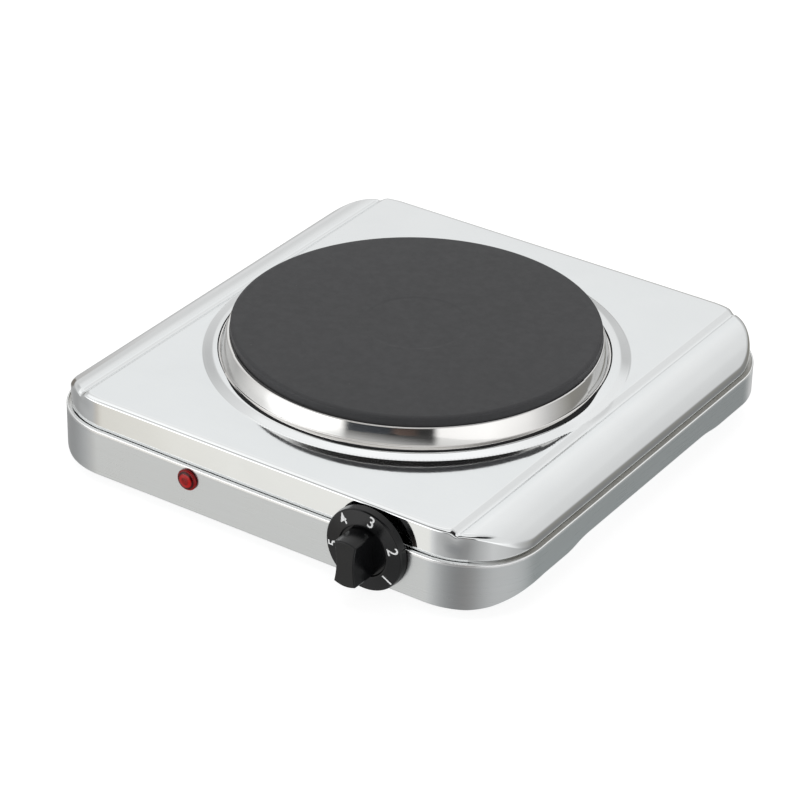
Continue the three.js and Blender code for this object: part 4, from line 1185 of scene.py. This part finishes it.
def make_knob():
    at = forward(KNOB_X, KNOB_Z, KNOB_BACK)
    B = Build()
    prof = fillet([(0, 1.0), (7.0, 1.0, 0.2), (7.0, 2.6, 0.2), (19.4, 2.6, 0.3), (19.4, 0.0, 0.15), (21.4, 0.0, 0.25), (21.05, 3.4, 0.5), (20.45, 4.12, 0.35),
                   (14.0, 5.1, 0.5), (13.2, 5.15, 0.2), (12.9, 4.0, 0.35), (0, 4.0)], step=9)
    lathe(B, prof, at, 180)
    v, f = np.array(B.v), B.f
    if signed_volume(v, f) < 0:
        f = [list(reversed(x)) for x in f]
    dial = plain_mesh("control_dial", v, f)

    # grip bar: concave flanks, crowned ends, rounded front edge
    w, hh, cr, wa, q = 6.0, 11.1, 1.0, 1.1, 0.95
    seg = [bez((w - q, hh), (w, hh - 0.02), (w, hh - q), 6), bez((w, hh - q), (w - 2 * wa, 0), (w, -hh + q), 26),
           bez((w, -hh + q), (w, -hh + 0.02), (w - q, -hh), 6), bez((w - q, -hh), (0, -hh - 2 * cr), (-w + q, -hh), 16),
           bez((-w + q, -hh), (-w, -hh + 0.02), (-w, -hh + q), 6), bez((-w, -hh + q), (-w + 2 * wa, 0), (-w, hh - q), 26),
           bez((-w, hh - q), (-w, hh - 0.02), (-w + q, hh), 6), bez((-w + q, hh), (0, hh + 2 * cr), (w - q, hh), 16)]
    o = np.concatenate(seg)
    d = np.roll(o, -1, 0) - np.roll(o, 1, 0)
    nn = unit(np.stack([-d[:, 1], d[:, 0]], -1))
    if float(np.mean(np.sum(nn * o, -1))) < 0:
        nn = -nn
    L = 19.2
    levels = [(3.2, -0.25), (4.2, -0.2), (5.0, -0.17), (9.0, -0.1), (14.0, 0.0), (L - 1.2, 0.1)]
    rf = 0.62
    for a in np.radians([0, 15, 30, 45, 60, 75, 90]):
        levels.append((L - rf + rf * math.sin(a), 0.12 + rf - rf * math.cos(a)))
    V, F = [], []
    m = len(o)
    for h, ins in levels:
        p = o - nn * ins
        V.extend([(KNOB_X + a, KNOB_BACK - h, KNOB_Z + b) for a, b in p])
    for i in range(len(levels) - 1):
        for j in range(m):
            k = (j + 1) % m
            F.append([i * m + j, i * m + k, (i + 1) * m + k, (i + 1) * m + j])
    # the front face is very slightly crowned
    top = (len(levels) - 1) * m
    prev = list(range(top, top + m))
    V0 = np.array(V)
    inner = V0[prev]
    for s, up in ((0.86, 0.03), (0.55, 0.06), (0.25, 0.075)):
        base = len(V)
        for p in inner:
            V.append((KNOB_X + (p[0] - KNOB_X) * s, KNOB_BACK - L + 0.08 - up, KNOB_Z + (p[2] - KNOB_Z) * s))
        cur = list(range(base, base + m))
        for j in range(m):
            k = (j + 1) % m
            F.append([prev[j], prev[k], cur[k], cur[j]])
        prev = cur
    V = [(x, max(y, KNOB_BACK - L), z) for x, y, z in V]
    F.append(list(prev))
    F.append(list(reversed(range(0, m))))
    if signed_volume(np.array(V), F) < 0:
        F = [list(reversed(x)) for x in F]
    grip = plain_mesh("grip_tmp", V, F)
    boolean(dial, grip, "UNION")
    bore_b = Build()
    lathe(bore_b, fillet([(0, -1.0), (3.3, -1.0), (3.3, 14.6), (0, 14.6)]), at, 48)
    bv, bf = np.array(bore_b.v), bore_b.f
    if signed_volume(bv, bf) < 0:
        bf = [list(reversed(x)) for x in bf]
    boolean(dial, plain_mesh("bore_tmp", bv, bf), "DIFFERENCE")
    smooth_sharp(dial, 34)
    dial.data.materials.clear()
    dial.data.materials.append(M["black_plastic"])
    place(dial, "knob", ["control_knob"], "black_plastic")
    return dial


def make_digits():
    """Printed dial figures: generic numbers 1 to 5."""
    objs = []
    for text, deg in (("1", -38.8), ("2", 18.4), ("3", 75.6), ("4", 130.3), ("5", 187.0)):
        cu = bpy.data.curves.new("figure_" + text, "FONT")
        cu.body = text
        cu.size = 7.2
        cu.offset = 0.04
        cu.align_x = "CENTER"
        cu.align_y = "CENTER"
        cu.resolution_u = 8
        ob = bpy.data.objects.new("figure_tmp", cu)
        scene.collection.objects.link(ob)
        dg = bpy.context.evaluated_depsgraph_get()
        me = bpy.data.meshes.new_from_object(ob.evaluated_get(dg), depsgraph=dg)
        bpy.data.objects.remove(ob)
        v = np.array([p.co for p in me.vertices])[:, :2]
        faces = [list(p.vertices) for p in me.polygons]
        bpy.data.meshes.remove(me)
        c = (v.max(0) + v.min(0)) / 2
        v = v - c
        h = v[:, 1].max() - v[:, 1].min()
        v = v * (5.6 / h)
        v[:, 0] *= 1.0
        a = math.radians(deg)
        er, et = np.array([math.cos(a), math.sin(a)]), np.array([math.sin(a), -math.cos(a)])
        p = er * (16.9 if text == "5" else 17.4) + v[:, 1:2] * er + v[:, 0:1] * et
        r = np.hypot(p[:, 0], p[:, 1])
        # find the outline edges of the flat mesh, then give it a thickness
        count = {}
        for f in faces:
            for i in range(len(f)):
                e = (f[i], f[(i + 1) % len(f)])
                count[e] = count.get(e, 0) + 1
        rim = [e for e in count if (e[1], e[0]) not in count]
        face_h = dial_height(r)
        n = len(p)
        V = [(KNOB_X + p[i, 0], KNOB_BACK - face_h[i] - 0.07, KNOB_Z + p[i, 1]) for i in range(n)]
        V += [(KNOB_X + p[i, 0], KNOB_BACK - face_h[i] + 0.10, KNOB_Z + p[i, 1]) for i in range(n)]
        F = [list(f) for f in faces] + [[i + n for i in reversed(f)] for f in faces]
        F += [[b, a2, a2 + n, b + n] for a2, b in rim]
        if signed_volume(np.array(V), F) < 0:
            F = [list(reversed(x)) for x in F]
        o = plain_mesh("dial_figure_" + text, V, F, 30)
        o.data.materials.append(M["digit"])
        place(o, "knob", (), "white_plastic")
        objs.append(o)
    return objs


# ------------------------------------------------------------------ lamp, feet, gland
def make_lamp():
    y0 = WALL_F - 0.3
    B = Build()
    dome = []
    for r in np.linspace(0, 4.5, 13):
        dome.append((float(r), float(2.45 - 0.92 * (r / 4.5) ** 2.4), 0))
    pts = dome + [(4.72, 1.28, 0.12), (5.05, 1.22, 0.25), (5.5, 0.75, 0.45), (5.5, 0.0, 0.1), (4.0, 0.0), (4.0, -5.1, 0.3), (0, -5.1)]
    prof = fillet(pts, step=12)
    out = []
    for p, ni, no in prof:
        if float(np.dot(ni, no)) > math.cos(math.radians(18)):
            ni = no = unit(ni + no)
        out.append((p, ni, no))
    out[0] = (out[0][0], np.array([0.0, 1.0]) * np.sign(out[0][1][1]), np.array([0.0, 1.0]) * np.sign(out[0][2][1]))
    lathe(B, out, forward(LAMP_X, LAMP_Z, y0), 96)
    return B


_finish = Build.finish


def auto_finish(self, name, mats, body="root", replaces=(), slot=None, flip=False):
    v = np.array(self.v)
    if signed_volume(v, self.f) < 0:
        self.f = [list(reversed(x)) for x in self.f]
        self.n = [list(reversed(x)) for x in self.n]
    tot = 0.0
    for i in range(0, len(self.f), max(1, len(self.f) // 600)):
        a, b, c = v[self.f[i][0]], v[self.f[i][1]], v[self.f[i][2]]
        tot += float(np.dot(unit(np.cross(b - a, c - a)), np.array(self.n[i][0])))
    if tot < 0:
        self.n = [[(-x[0], -x[1], -x[2]) for x in face] for face in self.n]
    return _finish(self, name, mats, body, replaces, slot)


Build.finish = auto_finish

cover = make_cover()
shell = make_shell()
plate = make_plate()
ring = make_ring()
make_gap_shade()
knob = make_knob()
digits = make_digits()
lens = make_lamp().finish("pilot_lens_dome", [M["lamp_red"]], "root", ["pilot_lamp_lens"], "lamp_red")


def make_foot(name):
    lo, hi = lo_hi(name)
    cx, cy = (lo.x + hi.x) / 2, (lo.y + hi.y) / 2
    B = Build()
    prof = fillet([(4.6, 0.0, 0.3), (9.0, 0.0, 1.0), (9.35, 2.4, 0.2), (9.0, 2.9, 0.3), (11.0, hi.z, 0.35), (2.2, hi.z), (2.2, 5.0), (4.6, 5.0, 0.2)], closed=True, step=12)
    lathe(B, prof, vertical(cx, cy), 72, closed=True)
    return B.finish(name + "_moulded", [M["rubber"]], "root", [name], "rubber")


for f_name in [n for n in NODES if n.startswith("foot_") and not n.startswith("foot_screw")]:
    make_foot(f_name)


def make_gland():
    B = Build()
    prof = fillet([(3.75, -9.8, 0.3), (5.5, -9.8, 0.4), (5.5, 0.3), (8.0, 0.3, 0.15), (8.0, 2.6, 0.7), (6.4, 5.65, 0.8), (4.15, 5.65, 0.5), (3.75, 5.1, 0.2)], closed=True, step=10)
    lathe(B, prof, backward(GLAND_X, GLAND_Z, WALL_B), 72, closed=True)
    return B.finish("cord_bush", [M["black_plastic"]], "root", ["cord_gland"], "black_plastic")


make_gland()

# ------------------------------------------------------------------ floor, world, camera
fm = Mat("pale_floor")
fv = fm.map((1, 1, 1))
fn = fm.noise(fv, 6.0, 3.0, 0.5)
fm.set(color=fm.mix(fm.range(fn, 0.3, 0.7, 0.0, 1.0), (0.34, 0.34, 0.34), (0.37, 0.37, 0.37)), rough=0.9, metal=0.0, spec=0.0)
fm.b.inputs["Emission Color"].default_value = (1, 1, 1, 1)
fm.b.inputs["Emission Strength"].default_value = 0.84
fme = bpy.data.meshes.new("floor")
S = 12.0
fme.from_pydata([(-S, -S, 0), (S, -S, 0), (S, S, 0), (-S, S, 0)], [], [(0, 1, 2, 3)])
fme.materials.append(fm.m)
floor = bpy.data.objects.new("floor", fme)
scene.collection.objects.link(floor)
floor.visible_glossy = False

# Studio surround: brightness by direction, rows of elevation with stops by azimuth (degrees from +X, anticlockwise).
ENV = {
    -90: [(-180, 0.12)],
    -72: [(-180, 0.20), (0, 0.4), (24, 1.5), (90, 1.5), (110, 0.3)],
    -55: [(-180, 0.45), (4, 0.6), (20, (1.75, 1.9, 1.9)), (104, (1.75, 1.9, 1.9)), (124, 0.45)],
    -42: [(-180, 0.42), (-134, 0.65), (-124, 0.76), (-100, 0.5), (-70, 0.36), (-20, 0.6), (14, 0.8), (30, (1.0, 1.05, 1.05)), (44, (0.6, 0.65, 0.65)), (80, (0.6, 0.65, 0.65)), (86, (1.1, 1.15, 1.15)), (112, 0.8), (130, 0.4)],
    -30: [(-180, 0.37), (-146, 0.52), (-136, (0.61, 0.575, 0.53)), (-131, (0.71, 0.67, 0.61)), (-128.8, (0.88, 0.85, 0.78)), (-127.2, (1.0, 0.98, 0.93)), (-120, (1.01, 0.995, 0.95)),
          (-115, 0.82), (-105, 0.58), (-94, 0.48), (-74, 0.30), (-64, 0.30), (-54, 0.39), (-44, 0.50), (-24, 0.70), (-4, 0.60), (16, 0.43),
          (26, 0.32), (36, 0.27), (46, (0.29, 0.30, 0.30)), (68, (0.34, 0.36, 0.36)), (80, 0.6), (88, 0.95), (108, 0.7), (122, 0.45), (140, 0.45), (165, 0.38)],
    -18: [(-180, 0.45), (-164, 0.55), (-150, 0.85), (-134, 1.4), (-124, 1.6), (-112, 1.5), (-104, 1.1), (-96, 0.9), (-93, (0.10, 0.11, 0.13)), (-70, (0.09, 0.10, 0.12)), (-66, (0.36, 0.25, 0.21)),
          (-57, (0.34, 0.24, 0.20)), (-53, 0.08), (-47, 0.07), (-44, 1.0), (-14, 1.1), (14, 0.9), (26, 0.5), (42, 0.24), (64, 0.25), (74, (0.28, 0.27, 0.24)), (112, (0.30, 0.29, 0.26)), (122, 0.49), (136, 0.5),
          (141, (0.22, 0.20, 0.175)), (156, (0.22, 0.20, 0.18)), (166, 0.45)],
    -4: [(-180, 0.42), (-164, 0.65), (-150, 0.95), (-134, 2.4), (-110, 2.4), (-98, 1.6), (-94, (0.05, 0.055, 0.06)), (-70, (0.04, 0.045, 0.05)), (-66, (0.07, 0.055, 0.05)), (-57, (0.065, 0.05, 0.045)),
         (-53, 0.04), (-46, 0.04), (-43, 1.2), (-14, 1.3), (10, 1.0), (24, 0.62), (42, (0.30, 0.295, 0.27)), (62, (0.28, 0.275, 0.255)), (72, (0.27, 0.26, 0.235)), (112, (0.30, 0.29, 0.26)), (122, 0.80), (136, 0.80),
         (141, (0.22, 0.20, 0.175)), (156, (0.22, 0.20, 0.18)), (166, 0.5)],
    2: [(-180, 0.45), (-164, 0.7), (-150, 1.0), (-134, 2.6), (-110, 2.6), (-98, 1.6), (-94, 0.05), (-70, 0.04), (-46, 0.04), (-43, 1.2), (-14, 1.3), (10, 1.1), (24, 0.68), (42, 0.42), (62, 0.38), (72, (0.27, 0.26, 0.235)), (112, (0.30, 0.29, 0.26)), (122, 0.79), (136, 0.79),
        (141, (0.22, 0.20, 0.175)), (156, (0.22, 0.20, 0.18)), (166, 0.5)],
    8: [(-180, 0.5), (-164, 0.9), (-150, 1.2), (-134, 2.6), (-110, 2.6), (-98, 1.6), (-94, 0.06), (-46, 0.06), (-42, 0.95), (-14, 0.95), (14, 0.95), (30, 0.75), (46, 0.7), (62, 0.68), (74, 0.5), (110, 0.5), (122, 0.76), (140, 0.75), (165, 0.55)],
    18: [(-180, 0.7), (-164, 0.88), (-134, 0.88), (-110, 0.88), (-97, 0.88), (-42, 0.88), (20, 0.88), (50, 0.76), (80, 0.72), (100, 0.66), (109, 0.7), (114, 0.84), (130, 0.82), (140, 0.7), (165, 0.7)],
    26: [(-180, 0.75), (-164, 0.88), (-134, 0.88), (-97, 0.88), (-42, 0.88), (20, 0.88), (50, 0.8), (80, 0.75), (98, 0.6), (108, 0.64), (114, 0.92), (134, 0.92), (139, 0.66), (145, 0.56), (165, 0.7)],
    30.5: [(-180, 0.75), (-164, 0.88), (-134, 0.88), (-97, 0.88), (-42, 0.88), (20, 0.88), (50, 0.83), (80, 0.88), (98, 0.94), (118, (0.945, 0.955, 0.96)), (134, (0.945, 0.955, 0.96)), (139, 0.7), (145, 0.58), (165, 0.7)],
    38: [(-180, 0.85), (-164, 0.88), (-134, 0.88), (-97, 0.88), (-42, 0.88), (20, 0.88), (50, 0.85), (80, 0.88), (100, 0.96), (116, 1.04), (134, 1.04), (141, 0.76), (165, 0.76)],
    44: [(-180, 0.9), (-164, 1.2), (-134, 1.3), (-120, 1.0), (-97, 0.9), (-42, 0.9), (20, 0.85), (50, 0.88), (80, 0.93), (100, 0.98), (116, 0.99), (136, 0.92), (165, 0.85)],
    46: [(-180, 1.1), (-160, 1.3), (-142, 1.2), (-134, 0.9), (-124, 0.85), (20, 0.8), (46, 0.8), (80, 0.9), (108, 0.95), (126, 0.92), (136, 0.92), (150, 1.1)],
    48.5: [(-180, 1.2), (-168, 1.1), (-156, 0.6), (-142, 0.08), (-124, 0.03), (-39, 0.02), (30, 0.03), (44, 0.7), (84, 0.9), (108, 1.0), (140, 1.0), (160, 1.15)],
    58: [(-180, 1.25), (-162, 1.2), (-150, 0.5), (-138, 0.08), (-126, 0.02), (-39, 0.015), (36, 0.025), (50, 0.7), (84, 0.9), (108, 1.15), (140, 1.15), (165, 1.2)],
    64: [(-180, 1.0), (-150, 0.7), (-136, 0.2), (-122, 0.02), (-39, 0.015), (26, 0.025), (42, 0.7), (84, 0.9), (108, 1.0), (140, 1.0), (165, 0.95)],
    68: [(-180, 0.95), (-150, 1.048), (-136, 0.547), (-122, 0.08), (26, 0.08), (42, 0.882), (80, 0.85), (120, 0.9), (155, 0.85)],
    73: [(-180, 0.95), (-134, 1.3), (-94, 1.35), (-34, 1.35), (20, 1.0), (80, 0.88), (120, 0.88), (155, 0.85)],
    90: [(-180, 0.95)],
}


def make_world():
    w = bpy.data.worlds.new("studio")
    scene.world = w
    w.use_nodes = True
    t = w.node_tree
    t.nodes.clear()
    link = t.links.new

    def node(kind, **p):
        n = t.nodes.new(kind)
        for k, v in p.items():
            setattr(n, k, v)
        return n

    def mth(op, a, b=None, clamp=False):
        n = node("ShaderNodeMath", operation=op, use_clamp=clamp)
        for i, x in enumerate((a, b)):
            if x is None:
                continue
            if isinstance(x, (int, float)):
                n.inputs[i].default_value = x
            else:
                link(x, n.inputs[i])
        return n.outputs[0]

    co = node("ShaderNodeTexCoord")
    nv = node("ShaderNodeVectorMath", operation="NORMALIZE")
    link(co.outputs["Generated"], nv.inputs[0])
    sp = node("ShaderNodeSeparateXYZ")
    link(nv.outputs[0], sp.inputs[0])
    x, y, z = sp.outputs
    az = mth("DIVIDE", mth("ARCTAN2", y, x), 2 * math.pi)
    az = mth("ADD", az, 0.5)                       # 0 at -180 degrees, 1 at +180
    el = mth("MULTIPLY", mth("ARCSINE", z), 180 / math.pi)
    rows = sorted(ENV)
    cols = []
    for e in rows:
        stops = sorted(ENV[e])
        n = node("ShaderNodeValToRGB")
        n.color_ramp.interpolation = "LINEAR"
        el_ = n.color_ramp.elements
        while len(el_) > 1:
            el_.remove(el_[-1])
        el_[0].position = 0.0

        def col(v):
            c = (v, v, v) if isinstance(v, (int, float)) else v
            return (c[0] / 4, c[1] / 4, c[2] / 4, 1)

        el_[0].color = col(stops[0][1])
        for a, v in stops[1:]:
            q = el_.new((a + 180) / 360)
            q.color = col(v)
        if len(stops) > 1:
            q = el_.new(1.0)
            q.color = col(stops[0][1])
        link(az, n.inputs["Fac"])
        cols.append(n.outputs["Color"])
    cur = cols[0]
    for i in range(1, len(rows)):
        r = node("ShaderNodeMapRange")
        r.inputs["From Min"].default_value = rows[i - 1]
        r.inputs["From Max"].default_value = rows[i]
        link(el, r.inputs["Value"])
        mx = node("ShaderNodeMix", data_type="RGBA")
        link(r.outputs["Result"], mx.inputs[0])
        link(cur, mx.inputs[6])
        link(cols[i], mx.inputs[7])
        cur = mx.outputs[2]
    bg = node("ShaderNodeBackground")
    bg.inputs["Strength"].default_value = 4.0
    link(cur, bg.inputs["Color"])
    # what the camera sees past the floor is plain white
    white = node("ShaderNodeBackground")
    white.inputs["Color"].default_value = (1, 1, 1, 1)
    white.inputs["Strength"].default_value = 1.15
    lp = node("ShaderNodeLightPath")
    ms = node("ShaderNodeMixShader")
    link(lp.outputs["Is Camera Ray"], ms.inputs[0])
    link(bg.outputs[0], ms.inputs[1])
    link(white.outputs[0], ms.inputs[2])
    out = node("ShaderNodeOutputWorld")
    link(ms.outputs[0], out.inputs["Surface"])


make_world()

cam_data = bpy.data.cameras.new("camera")
cam = bpy.data.objects.new("camera", cam_data)
scene.collection.objects.link(cam)
az, el, ro = math.radians(33.76), math.radians(30.29), math.radians(1.09)
back = Vector((math.sin(az) * math.cos(el), -math.cos(az) * math.cos(el), math.sin(el)))
fwd = -back
right = fwd.cross(Vector((0, 0, 1))).normalized()
up = right.cross(fwd)
r2 = right * math.cos(ro) + up * math.sin(ro)
u2 = up * math.cos(ro) - right * math.sin(ro)
rot = Matrix((r2, u2, back)).transposed()
cam.matrix_world = Matrix.Translation((0.778763, -1.18556, 0.84815)) @ rot.to_4x4()
cam_data.sensor_width = 36.0
cam_data.lens = 148.67
cam_data.shift_x = 0.0204
cam_data.shift_y = -0.00076
cam_data.clip_start = 0.05
cam_data.clip_end = 60.0
scene.camera = cam
scene.view_settings.view_transform = "Standard"
scene.view_settings.look = "None"
scene.view_settings.exposure = 0.0
scene.view_settings.gamma = 1.0
